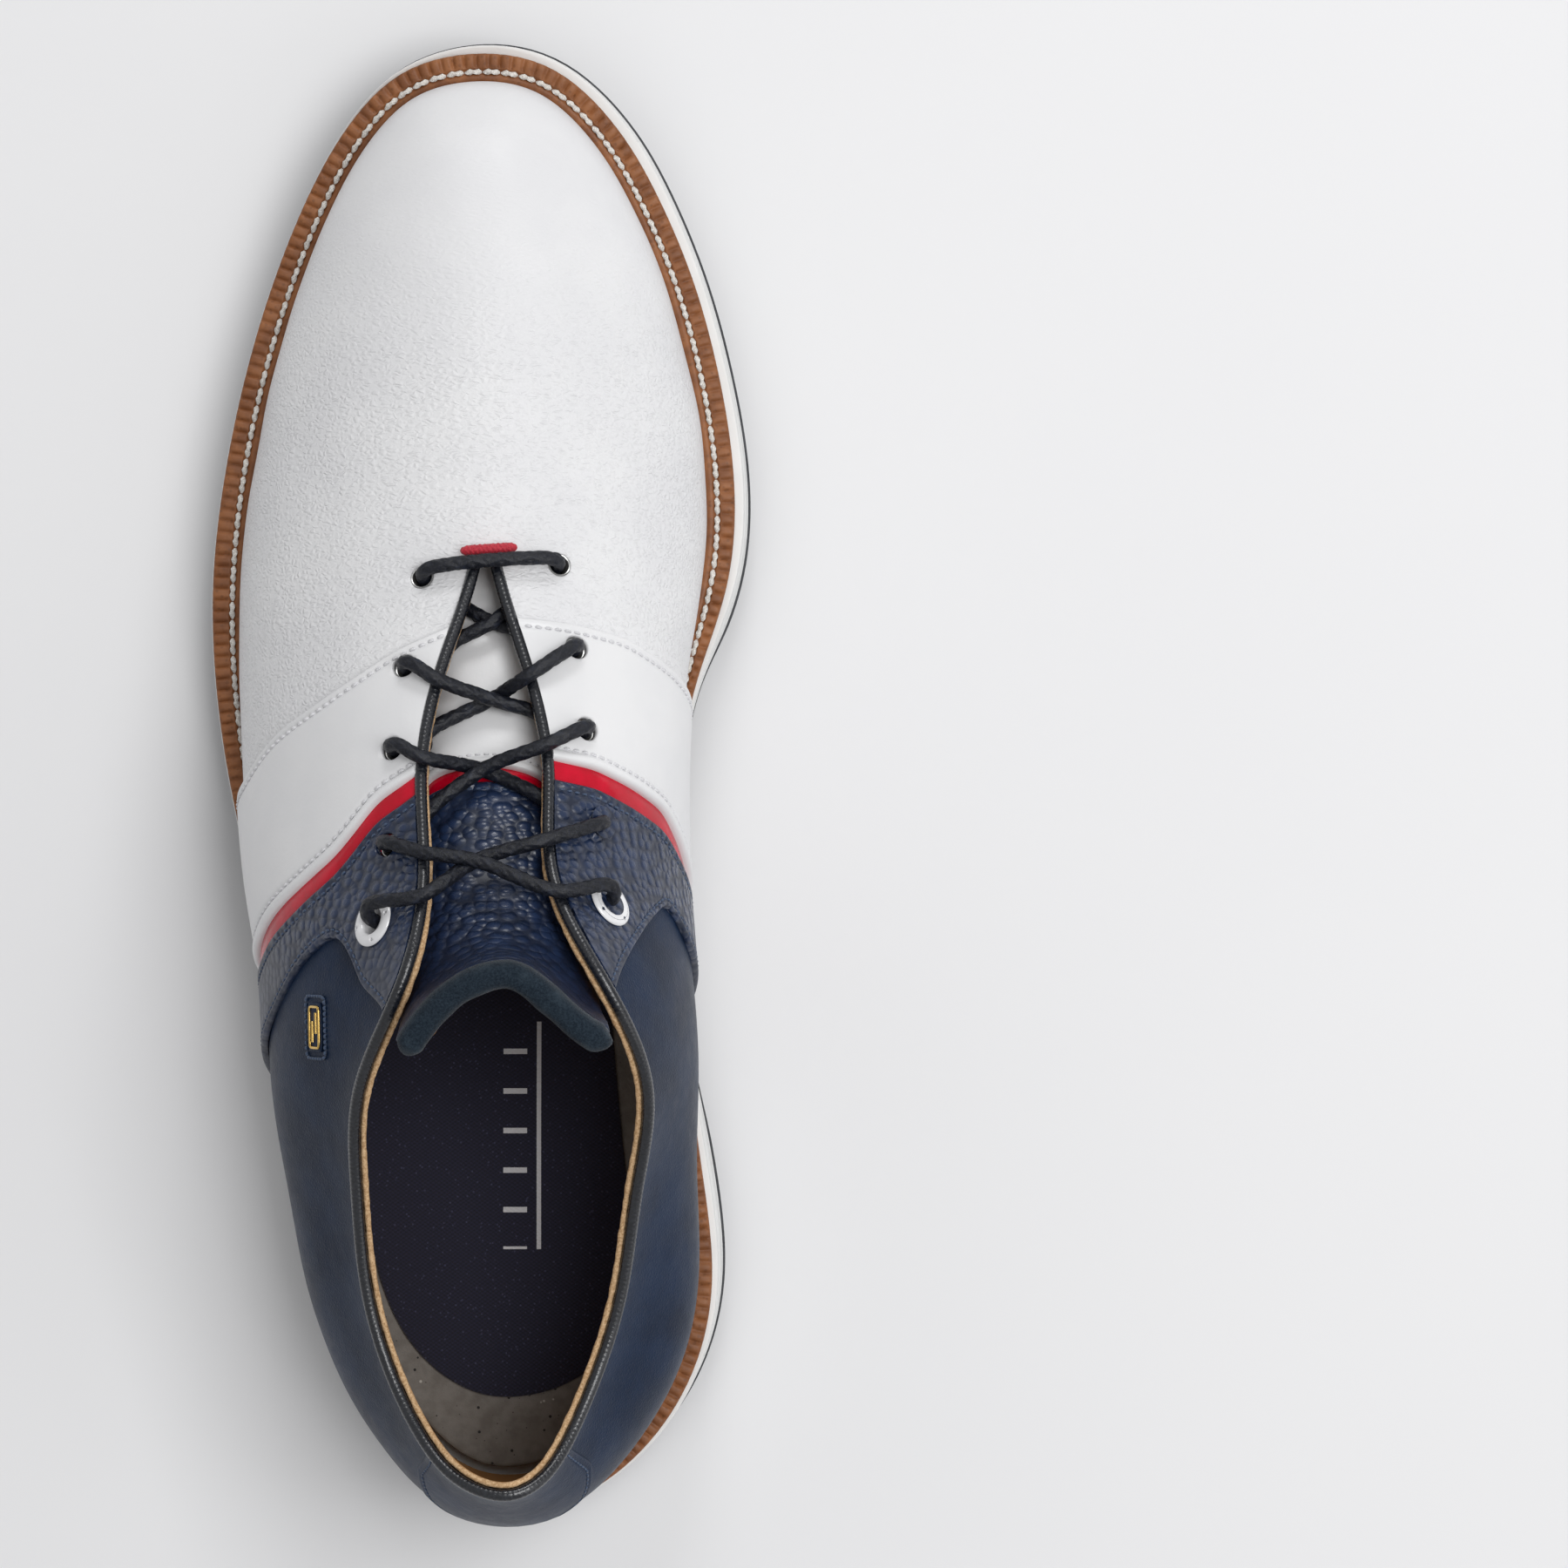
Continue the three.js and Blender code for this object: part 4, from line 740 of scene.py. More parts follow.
LACE_RADIUS = 1.35
BRAID_PITCH = 5.6
AGLET_LENGTH, AGLET_RADIUS = 20, 1.45
LACE_ROUTE = [
    [7.2, -94, 28.8], [10.2, -66, 27.9], [12.6, -36, 28], [13.6, -8, 28.9], [14.4, 16, 31.8],
    [13.6, 28, 37.5], [12.4, 31, 50], [11.9, 31, 68], [11.7, 30.6, 85], [12.6, 29.9, 89.4],
    [15.1, 28.6, 91.9], [17, 27, 94.4], [16.5, 24.9, 96.1], [6.3, 23.1, 100.9], [-4, 16.5, 94.5],
    [-17.6, 12.4, 94.1], [-27.5, 9.4, 86.9], [-28.1, 9.2, 84.6], [-25.1, 10.2, 80.6], [-22.2, 10.5, 78.5],
    [-19.8, 8.6, 79.1], [-17.5, 5.4, 82.4], [-4.4, -0.9, 80.3], [7.2, -3.5, 87.3], [12, -5.9, 85.8],
    [13.4, -5.7, 83.9], [11.8, -4.2, 79.2], [9.7, -3.5, 76.4], [7.2, -5.3, 76.1], [6.7, -8, 77.1],
    [-5.8, -14.8, 74.2], [-13.4, -19.4, 80.4], [-21.6, -24.9, 76.6], [-22.7, -25.4, 74.5],
    [-21, -23.9, 69.9], [-18.8, -22.9, 67.2], [-16, -24.3, 67.1], [-10.3, -28.5, 68.6], [-5.7, -30, 67.3],
    [4.1, -35.5, 63.3], [6.3, -36.9, 63.1], [7.7, -38.3, 66], [7.9, -39.8, 69.4], [6.2, -40.7, 70.9],
    [-5, -42.1, 71.7], [-17, -42.6, 69.4], [-18.6, -42.1, 67.6], [-18, -40.8, 64.1], [-16.4, -39.4, 61.3],
    [-14.4, -37.7, 61.8], [-5.7, -30, 70.4], [2.4, -25.6, 70], [5.8, -20.6, 69.6], [8.5, -19.1, 70.2],
    [10.2, -20.1, 73.1], [11.2, -21.9, 77.9], [9.7, -21.8, 79.7], [4.5, -18.6, 81.2], [-5.8, -14.8, 77.3],
    [-15.6, -11.5, 75.3], [-17.6, -8.3, 73.9], [-20.5, -7.1, 73.5], [-22.9, -7.9, 75.9], [-25, -9.4, 80.4],
    [-24, -9.2, 82.5], [-16.8, -5.8, 85.9], [-4.4, -0.9, 83.4], [6.9, 8.5, 84.3], [7.4, 12.6, 82.7],
    [9.6, 14.8, 82.9], [12.1, 14.3, 85.4], [14.5, 13.1, 89.8], [13.4, 13, 91.9], [6.4, 14.9, 95.9],
    [-4, 16.5, 97.5], [-19.5, 22.2, 99.8], [-29.6, 21.3, 93.2], [-30.3, 23.2, 91.3], [-28.4, 25.3, 89.1],
    [-25.9, 27.2, 87.1], [-25.2, 29, 81], [-26.6, 30.5, 66], [-27, 30.5, 50], [-25.6, 28, 37.5],
    [-24.2, 16, 31.8], [-22.4, -8, 28.9], [-20.6, -36, 28], [-18, -66, 27.9], [-15, -94, 28.8],
]


def lace():
    line = resample(catmull_rom(LACE_ROUTE, 24), step=0.3)
    sides = 24
    angle = circle(sides)
    turn = 2 * np.pi * lengths_along(line)[:, None] / BRAID_PITCH
    left, right = np.abs(np.cos(3 * angle + turn)), np.abs(np.cos(3 * angle - turn))
    over = smoothstep(-0.3, 0.3, np.cos(3 * angle) * np.cos(turn))
    braid = over * left + (1 - over) * right
    cord = new_piece("lace", sweep(line, LACE_RADIUS * (0.8 + 0.27 * braid**0.7), sides), "lace", smooth=180)
    for name, end, inner in (("aglet_lateral", 0, 1), ("aglet_medial", -1, -2)):
        tip = np.array(LACE_ROUTE[end], float)
        along = unit(tip - np.array(LACE_ROUTE[inner], float))
        t = np.linspace(0, 1, 60)[:, None]
        blunt = np.sqrt(np.clip(1 - (2 * np.abs(t - 0.5)) ** 14, 0.05, 1))
        radius = AGLET_RADIUS * blunt * (1 + 0.03 * np.cos(40 * t))
        points = tip + along * (0.3 + (AGLET_LENGTH - 0.4) * t)
        new_piece(name, sweep(points, radius, 16), "aglet")


lace()

# ---- Sheets of leather ----

EDGE_STEPS = np.array([0, 0.05, 0.14, 0.28, 0.46, 0.7, 1, 1.3, 1.6, 1.9, 2.2, 2.5, 2.85, 3.3, 4])
TOP_V = 0.985  # where panels end under the rolled bead


def stops(length, front=True, rear=True, step=1.15):
    """Fractions along a panel of a length, closer together near its finished edges."""
    a = EDGE_STEPS if front else np.array([0.0])
    b = length - (EDGE_STEPS[::-1] if rear else np.array([0.0]))
    count = max(2, int((b[0] - a[-1]) / step) + 2)
    return np.concatenate([a, np.linspace(a[-1], b[0], count)[1:-1], b]) / length


def rounded(d, radius):
    """The section of a rounded edge: 0 at the edge, 1 from a radius inwards."""
    return np.sqrt(np.clip(1 - (1 - np.clip(d / radius, 0, 1)) ** 2, 0, 1))


def edged(*distances, low=0.08):
    """The thickness, 0 to 1, of leather whose edges are rounded; each edge is (distances, radius)."""
    share = 1 - low
    for d, radius in distances:
        share = share * rounded(d, radius)
    return low + share


def groove(d, middle, width=0.5):
    return np.exp(-(((d - middle) / width) ** 2))


class Sheet:
    """A grid of points on the last or the tongue: where its edges are, and which way it faces."""

    def __init__(self, points, relax=0, flip=False):
        self.shape = points.shape[:2]
        self.front = lengths_along(points)  # distances from the four edges
        self.rear = self.front[-1] - self.front
        self.low = lengths_along(points.swapaxes(0, 1)).swapaxes(0, 1)
        self.high = self.low[:, -1:] - self.low
        every = points.reshape(-1, 3)
        keys = np.round(every * 500).astype(np.int64)  # points nearer than 2 micrometres are one
        _, self.first, back = np.unique(keys, axis=0, return_index=True, return_inverse=True)
        self.back = back.ravel()
        quads = np.array(grid_faces(*self.shape))
        self.quads = self.back[quads[:, ::-1] if flip else quads]
        self.base = every[self.first]
        self.edge = self.border()
        for _ in range(relax):
            self.relax()
        self.normal = self.normals()

    def border(self):
        """Edges that only one face has."""
        sides = np.concatenate([self.quads[:, [n, (n + 1) % 4]] for n in range(4)])
        sides = sides[sides[:, 0] != sides[:, 1]]
        known = set(map(tuple, sides))
        return [(a, b) for a, b in known if (b, a) not in known]

    def relax(self):
        """Moves each inner point halfway to the middle of its neighbours."""
        total, count = np.zeros_like(self.base), np.zeros(len(self.base))
        for n in range(4):
            a, b = self.quads[:, n], self.quads[:, (n + 1) % 4]
            for p, q in ((a, b), (b, a)):
                np.add.at(total, p, self.base[q])
                np.add.at(count, p, 1)
        moved = total / np.maximum(count, 1)[:, None]
        fixed = np.array(sorted({n for e in self.edge for n in e}))
        moved[fixed] = self.base[fixed]
        self.base = self.base * 0.5 + moved * 0.5

    def normals(self):
        total = np.zeros_like(self.base)
        a, b, c, d = (self.base[self.quads[:, n]] for n in range(4))
        face = np.cross(c - a, d - b)
        for n in range(4):
            np.add.at(total, self.quads[:, n], face)
        return unit(total)

    def at(self, height):
        """Every grid point raised by a height, as a grid."""
        height = np.broadcast_to(height, self.shape).reshape(-1, 1)
        return (self.base[self.back] + self.normal[self.back] * height).reshape(*self.shape, 3)

    def solid(self, outer, inner, floor=True):
        """(points, faces) of the closed solid between two heights over the sheet."""
        layers = []
        for height in (outer, inner):
            height = np.broadcast_to(height, self.shape).reshape(-1)[self.first]
            layer = self.base + self.normal * height[:, None]
            if floor:
                layer[:, 2] = np.maximum(layer[:, 2], feather_z(layer[:, 1]) + 0.03)
            layers.append(layer)
        count = len(self.base)
        faces = []
        for quad in self.quads.tolist():
            ring = [n for i, n in enumerate(quad) if n != quad[i - 1]]
            if len(set(ring)) >= 3:
                faces += [ring, [n + count for n in ring[::-1]]]
        faces += [[b, a, a + count, b + count] for a, b in self.edge]
        return np.concatenate(layers), faces

    def line(self, edge, distance, height):
        """(points, normals) at a distance from the front or rear edge."""
        d = getattr(self, edge)
        raised, normal = self.at(height), self.normal[self.back].reshape(*self.shape, 3)
        order = slice(None, None, 1 if edge == "front" else -1)
        columns = range(d.shape[1])
        points, normals = (
            np.array([interpolate(distance, d[order, j], grid[order, j]) for j in columns])
            for grid in (raised, normal)
        )
        return points, unit(normals)


def side_sheet(side, front, rear, length, edges=(True, True)):
    """A sheet on one side between two stations given as functions of v."""
    v = np.linspace(0, TOP_V, 64)[None, :]
    k = front(v) + (rear(v) - front(v)) * stops(length, *edges)[:, None]
    return Sheet(on_last(along_side(side, k), np.broadcast_to(v, k.shape)), flip=side == "medial")


STITCH_RINGS, STITCH_SIDES = 7, 6


def thread_row(
    name, lines, look, slot=None, pitch=1.7, length=1.25, radius=0.22, rise=0.12, body="shoe", ply=0.0
):
    """A row of stitches on (points, normals) lines, as one piece."""
    t = np.linspace(-1, 1, STITCH_RINGS)
    turns = circle(STITCH_SIDES)
    lift = rise * (1 - t**2) - 0.16 * t**4
    thick = radius * np.sqrt(np.clip(1 - 0.75 * t**4, 0.1, 1))
    twist = 1 + ply * np.cos(2 * turns[None, :] - 6 * t[:, None])
    parts = []
    for line, normals in lines:
        s = lengths_along(line)
        count = int(s[-1] // pitch)
        at = (s[-1] - (count - 1) * pitch) / 2 + pitch * np.arange(count)
        at = at[:, None] + t * length / 2
        centre, normal = interpolate(at, s, line), unit(interpolate(at, s, normals))
        along = unit(interpolate(at, s, np.gradient(line, axis=0)))
        across = unit(np.cross(along, normal))
        up = np.cross(across, along)
        ring = up[:, :, None] * np.cos(turns)[:, None] + across[:, :, None] * np.sin(turns)[:, None]
        points = centre[:, :, None] + normal[:, :, None] * lift[:, None, None]
        points = points + ring * (thick[:, None] * twist)[..., None]
        parts += [(stitch.reshape(-1, 3), tube_faces(STITCH_RINGS, STITCH_SIDES)) for stitch in points]
    return new_piece(name, gather(parts), look, body, extra=True, merge=0)


def punch(piece, cutters):
    """Cuts closed solids out of a piece."""
    tool = new_piece(piece.name + "_tool", gather(cutters), "steel", extra=True)
    cut = piece.modifiers.new("cut", "BOOLEAN")
    cut.object = tool
    cut.operation = "DIFFERENCE"
    cut.solver = "EXACT"
    bpy.context.view_layer.update()
    done = bpy.data.meshes.new_from_object(piece.evaluated_get(bpy.context.evaluated_depsgraph_get()))
    piece.modifiers.clear()
    piece.data = done
    bpy.data.objects.remove(tool)


# ---- Upper ----

PANEL, OVERLAY = -1.2, 0.03  # undersides of the two layers of leather
PANEL_THICK, OVERLAY_THICK = 1.2, 1.25
UNDERLAP = 5
STRIP_WIDTH = 3.6
HOLES = {}
for _side, _spots in LACE_HOLES.items():
    for _n, _spot in enumerate(_spots):
        _place = last_over(_side, *_spot)
        HOLES[_side, _n] = (on_last(*_place), normal_on(*_place))


def hole_cutters(side, top=0):
    """Cutters for the lace holes of a side, wider at the surface so that the rims look pressed."""
    cutters = []
    for n in range(TOP_HOLE + 1):
        r = 3.3 if n == TOP_HOLE else 2.35
        rim = [(r, top - 0.5), (r + 0.08, top - 0.2), (r + 0.4, top + 0.15), (r + 0.9, top + 1)]
        cutters.append(lathe([(0, -9), (r, -9), *rim, (0, top + 1)], 32, *HOLES[side, n]))
    return cutters


def lay(name, sheet, outer, inner, look, cutters):
    punch(new_piece(name, sheet.solid(outer, inner), look), cutters)


ALL_HOLES = hole_cutters("lateral") + hole_cutters("medial")


def vamp():
    front, rear = 120, 34  # rows before and behind the throat's apex
    v = np.linspace(0, 1, 60)
    halves = []
    for side in ("medial", "lateral"):
        apex = station_for_y(side, THROAT_APEX, v)
        end = seam(side, SADDLE_FRONT, v, UNDERLAP)
        before = apex * np.linspace(0, 1, front, endpoint=False)[:, None]
        behind = apex + (end - apex) * np.linspace(0, 1, rear)[:, None]
        halves.append(on_last(along_side(side, np.concatenate([before, behind])), v))
    medial, lateral = halves
    ridge = (medial[:front, -1] + lateral[:front, -1]) / 2
    pull = smoothstep(0.72, 1, v)[None, :, None]
    for half in halves:
        half[:front] += pull * (ridge - half[:front, -1])[:, None]
        half[front:, -1] = half[front:, -2] * 0.4 + half[front:, -1] * 0.6
    points = np.concatenate([medial[:0:-1], lateral])
    bumps = 0.14 * ripple(points, 26, 3) * smoothstep(-125, -95, points[..., 1])
    lay("vamp", Sheet(points, relax=14), bumps, PANEL, "vamp", ALL_HOLES)


def saddle(side):
    sheet = side_sheet(side, lambda v: seam(side, SADDLE_FRONT, v), lambda v: seam(side, SADDLE_REAR, v), 30)
    front, rear = sheet.front, sheet.rear
    rise = OVERLAY_THICK * edged((front, 0.7), (rear, 1.05))
    rise = rise + 0.42 * rounded(rear, 1.05) * (1 - smoothstep(1.5, 2.5, rear))
    rise = rise - 0.32 * groove(front, 2.0, 0.6) - 0.36 * groove(rear, 2.75, 0.55)
    rise = rise + 0.12 * ripple(sheet.at(0), 22, 5)
    outer = OVERLAY + rise
    lay("saddle_" + side, sheet, outer, OVERLAY, "saddle", hole_cutters(side, OVERLAY + OVERLAY_THICK))
    rows = [sheet.line("front", 2.0, outer), sheet.line("rear", 2.75, outer)]
    thread_row("saddle_stitches_" + side, rows, "white_thread", pitch=2.0, length=1.55, radius=0.33, rise=0.2)


def accent(side):
    sheet = side_sheet(
        side,
        lambda v: seam(side, SADDLE_REAR, v, -UNDERLAP),
        lambda v: seam(side, SADDLE_REAR, v, STRIP_WIDTH + UNDERLAP),
        13.6,
        (False, False),
    )
    swell = 0.45 * np.clip(1 - ((sheet.front - UNDERLAP - STRIP_WIDTH / 2) / 2.6) ** 2, 0, 1)
    lay("accent_" + side, sheet, swell, PANEL, "red", hole_cutters(side))


def eyestay(side):
    sheet = side_sheet(
        side, lambda v: seam(side, SADDLE_REAR, v, STRIP_WIDTH), lambda v: seam(side, EYESTAY_REAR, v), 28
    )
    rise = OVERLAY_THICK * edged((sheet.front, 0.75), (sheet.rear, 0.75))
    rise = rise - 0.28 * groove(sheet.front, 2.0, 0.6) - 0.24 * groove(sheet.rear, 1.7, 0.5)
    outer = OVERLAY + (rise + 0.15 * ripple(sheet.at(0), 18, 7))
    lay("eyestay_" + side, sheet, outer, OVERLAY, "pebbled", hole_cutters(side, OVERLAY + OVERLAY_THICK))
    thread_row("eyestay_stitches_" + side, [sheet.line("front", 2.0, outer)], "navy_thread")
    thread_row("swan_stitches_" + side, [sheet.line("rear", 1.7, outer)], "navy_thread")


def quarter(side):
    sheet = side_sheet(
        side,
        lambda v: seam(side, EYESTAY_REAR, v, -UNDERLAP),
        lambda v: BACK - 0.008 + 0 * v,
        120,
        (False, True),
    )
    rise = PANEL_THICK * edged((sheet.rear, 0.6), low=0.3) + 0.16 * ripple(sheet.at(0), 30, 9)
    lay("quarter_" + side, sheet, PANEL + rise, PANEL, "navy", hole_cutters(side))


vamp()
for _side in SIDES:
    for _panel in (saddle, accent, eyestay, quarter):
        _panel(_side)

TAB_EDGE = np.array([[0.37, 17.9], [0.42, 17.2], [0.5, 16.8], [0.68, 16.35], [1, 15.95]])


def heel_tab():
    v = np.linspace(0.385, TOP_V, 52)
    reach = BACK - np.interp(v, *TAB_EDGE.T)
    u = BACK + reach * (2 * stops(40, step=0.9) - 1)[:, None]
    sheet = Sheet(on_last(u, np.broadcast_to(v, u.shape)))
    edge = np.minimum(sheet.front, sheet.rear)
    outer = OVERLAY + (1.15 * edged((edge, 0.7)) - 0.22 * groove(edge, 1.8, 0.5))
    new_piece("heel_tab", sheet.solid(outer, OVERLAY), "navy")
    lines = [sheet.line(edge, 1.8, outer) for edge in ("front", "rear")]
    thread_row("heel_tab_stitches", [(p[6:], n[6:]) for p, n in lines], "navy_thread", "smooth_navy")


heel_tab()


def rim_line(start_y, offset, step):
    """The throat and collar's edge from the lateral front, round the heel, to the medial front."""
    first = station_for_y("lateral", start_y, 1.0)
    last = STATIONS - station_for_y("medial", start_y, 1.0)
    u = np.linspace(first, last, 900)
    return resample(on_last(u, 1.0) + normal_on(u, 1.0) * offset, step=step)


def topline():
    """The rolled black bead along the rim, with fine pleats, and the raw edge of the lining inside it."""
    line = rim_line(-43.4, 0.05, 0.3)
    line[:, 2] -= 0.9 * (1 - smoothstep(-43.4, -39, line[:, 1]))
    s = lengths_along(line)[:, None]
    pleats = 0.03 * np.cos(2 * np.pi * s / 0.95 + 0.8 * np.sin(s / 7))
    ends = np.clip(np.minimum(s, s[-1] - s) / 1.2, 0.02, 1) ** 0.5
    new_piece("topline_bead", sweep(line, 1.2 * ends * (1 + pleats), 14), "bead", smooth=180)
    edge = rim_line(-37, -1.85, 0.8)
    ragged = 0.62 + 0.09 * ripple(edge, 2.5, 21)[:, None]
    new_piece("lining_edge", sweep(edge, ragged, 8), "raw", extra=True, smooth=180)


topline()
LINING_SPLIT = -22


def lining_heights(v):
    """The lining's outer and inner faces, which lie closer to the panels higher up."""
    f = smoothstep(0.42, 0.75, v)
    return -2.75 + f * 1.25, -3.7 + f * 1.15


def linings():
    v = np.linspace(0, 0.985, 54)
    front = {side: station_for_y(side, LINING_SPLIT + 0.4, v) for side in SIDES}
    rows = np.linspace(0, 1, 230)[:, None]
    u = front["lateral"] + (STATIONS - front["medial"] - front["lateral"]) * rows
    grid = np.broadcast_to(v, u.shape)
    sheet = Sheet(on_last(u, grid))
    outer, inner = lining_heights(grid)
    loose = smoothstep(0.1, 0.5, grid) * (1 - smoothstep(0.8, 0.95, grid))
    waves = 0.22 * ripple(sheet.at(0), 16, 13) * loose
    lay("quarter_lining", sheet, outer, inner + waves, "lining", ALL_HOLES)

    rows = np.linspace(0, 1, 90)[:, None]
    medial, lateral = (
        on_last(along_side(side, station_for_y(side, LINING_SPLIT, v) * rows), v)
        for side in ("medial", "lateral")
    )
    points = np.concatenate([medial[:0:-1], lateral])
    heights = lining_heights(np.broadcast_to(v, points.shape[:2]))
    lay("vamp_lining", Sheet(points), *heights, "lining", ALL_HOLES)


linings()

# ---- Heights of the sole ----

CLEAT_HEIGHT = 5
OUTSOLE_EDGE = 3
MIDSOLE_FLARE = 0.8


def welt_top(y):
    return feather_z(y) - 0.3


def midsole_top(y):
    return feather_z(y) - 3.6


def ground_side(y):
    return CLEAT_HEIGHT + spring_at(y) + arch_at(y)


def midsole_base(y):
    return ground_side(y) + OUTSOLE_EDGE


def footbed_top(y):
    return feather_z(y) + 4.8


def outline(u, offset):
    """The feather line in plan, moved outwards."""
    ahead, behind = station_at(u + 0.02), station_at(u - 0.02)
    out = unit(np.stack([ahead[..., 1] - behind[..., 1], behind[..., 0] - ahead[..., 0]], -1))
    return station_at(u)[..., :2] + out * np.asarray(offset, float)[..., None]


def at_steps(last, dense, steps):
    """Stations from the toe tip to the last one, at even steps of length."""
    u = np.linspace(0, last, dense)
    s = lengths_along(station_at(u)[:, :2])
    return np.interp(steps * s[-1], s, u)


def even_stations(count):
    return at_steps(STATIONS, 2001, np.linspace(0, 1, count, endpoint=False))


def slab(profile, rows=170, columns=14, bend=None):
    """A closed slab from a profile of (offset of the ring's row, height of y, lift), top edge to base."""
    half = at_steps(BACK, 1001, np.linspace(0, 1, rows + 1))
    u = np.concatenate([half, STATIONS - half[-2:0:-1]])
    row = station_at(u)
    rings = []
    for offset, height, lift in profile:
        plan = outline(u, offset(row))
        if bend is not None:
            plan[:, 1] = bend(plan[:, 1])
        rings.append(np.concatenate([plan, height(plan[:, 1])[:, None] + lift], -1))
    parts = [(np.concatenate(rings), grid_faces(len(rings), len(u), closed_columns=True))]
    for ring, (_, height, lift) in ((rings[0], profile[0]), (rings[-1], profile[-1])):
        other = ring[-np.arange(rows + 1)]
        f = np.linspace(0, 1, columns)[None, :, None]
        across = ring[: rows + 1, None] * (1 - f) + other[:, None] * f
        across[..., 2] = height(across[..., 1]) + lift
        parts.append((across.reshape(-1, 3), grid_faces(rows + 1, columns)))
    return gather(parts)


def flat(value):
    return lambda row: np.full(len(row), float(value))


def sole_outline(extra):
    """Offsets of the sole's edge, which stands out less where the sole is narrow."""

    def at(row):
        edge = row[:, SOLE_EDGE]
        share = 0.2 + 0.8 * smoothstep(0.4, 1.3, edge) if extra > 0 else 1
        return row[:, WELT_WIDTH] + edge + extra * share

    return at


# ---- Sole ----

CLEAT_SPOTS = [(31, -78), (38, -40), (-3, -99), (-34, -72), (-33, -34), (17, 98), (-27, 100)]
LUG_SPOTS = [(8, -68), (-14, -50), (14, -38), (-4, -24), (-12, -80)]
LUG_SPOTS += [(-6, 84), (-5, 126), (-19, 122), (8, 122)]
LUG_WIDTH, LUG_LENGTH, LUG_SIDES = 11, 7, 24
UP = (0.0, 0.0, 1.0)
SEAT_RADIUS = 7.8
PLATE_PROFILE = [(0.9, 2.7), (1.25, 2.55), (1.3, 2.2), (0.9, 1.1), (0.35, 0.3), (-0.4, 0)]
MIDSOLE_UPPER = [(-0.5, 0), (-0.12, -0.12), (0.0, -0.55), (0.1, -1.5), (-0.12, -1.75), (0.15, -2.0)]
MIDSOLE_LOWER = [(-0.15, 1.8), (-0.35, 1.5), (-0.05, 1.2), (0, 0.5), (-0.2, -0.25)]


def seat_cutters(roof):
    profile = [(0, -2), (SEAT_RADIUS, -2), (SEAT_RADIUS, roof), (0, roof)]
    return [lathe(profile, 40, (*spot, 0), UP) for spot in CLEAT_SPOTS]


def lug(x, y):
    """A lug with chamfered edges: rings of a rounded rectangle."""
    rings = []
    shape = rounded_ring(LUG_WIDTH, LUG_LENGTH, LUG_SIDES, 0.35)
    for z, scale in ((0.0, 0.8 * 0.93), (0.35, 0.8), (ground_side(y) - 0.02, 1.0)):
        rings.append(np.stack([x + shape[0] * scale, y + shape[1] * scale, np.full(LUG_SIDES, z)], -1))
    return np.concatenate(rings), tube_faces(len(rings), LUG_SIDES)


def sole():
    plate = slab([(sole_outline(extra), ground_side, lift) for extra, lift in PLATE_PROFILE])
    punch(new_piece("outsole", plate, "rubber", smooth=50), seat_cutters(30))
    new_piece("outsole_lugs", gather([lug(*spot) for spot in LUG_SPOTS]), "rubber", extra=True, smooth=40)
    body = [(sole_outline(extra), midsole_top, lift) for extra, lift in MIDSOLE_UPPER]
    body += [(sole_outline(MIDSOLE_FLARE + extra), midsole_base, lift) for extra, lift in MIDSOLE_LOWER]
    punch(new_piece("midsole", slab(body), "midsole", smooth=50), seat_cutters(9.2))


sole()

RIB_PITCH, RIB_DEPTH = 2.3, 0.62
BAND_START = 2.95
SEAM_OFFSET, SEAM_PITCH = 2.15, 3.7
# The welt's section: the inner lip and the stitched groove as (offset, lift), the ribbed band as
# (fraction across, lift, share of the ribs), the outer edge as (inset, drop, share of the ribs).
WELT_LIP = [(-1.1, -0.06), (0.2, 0.0), (0.55, 0.12), (1.1, 0.12), (1.45, -0.02), (1.62, -0.3)]
WELT_GROOVE = [(1.95, -0.5), (2.35, -0.5), (2.65, -0.3), (2.8, 0.02)]
WELT_BAND = [(0, 0.1, 0.3), (0.12, 0.14, 0.9), (0.35, 0.15, 1), (0.62, 0.14, 1), (0.88, 0.08, 1), (1, 0, 1)]
WELT_EDGE = [
    (0.2, 0.16, 0.8), (0.05, 0.42, 0.5), (0, 0.8, 0.2), (0, 1.7, 0), (0, 2.6, 0), (0.12, 2.9, 0), (0.4, 3, 0),
]


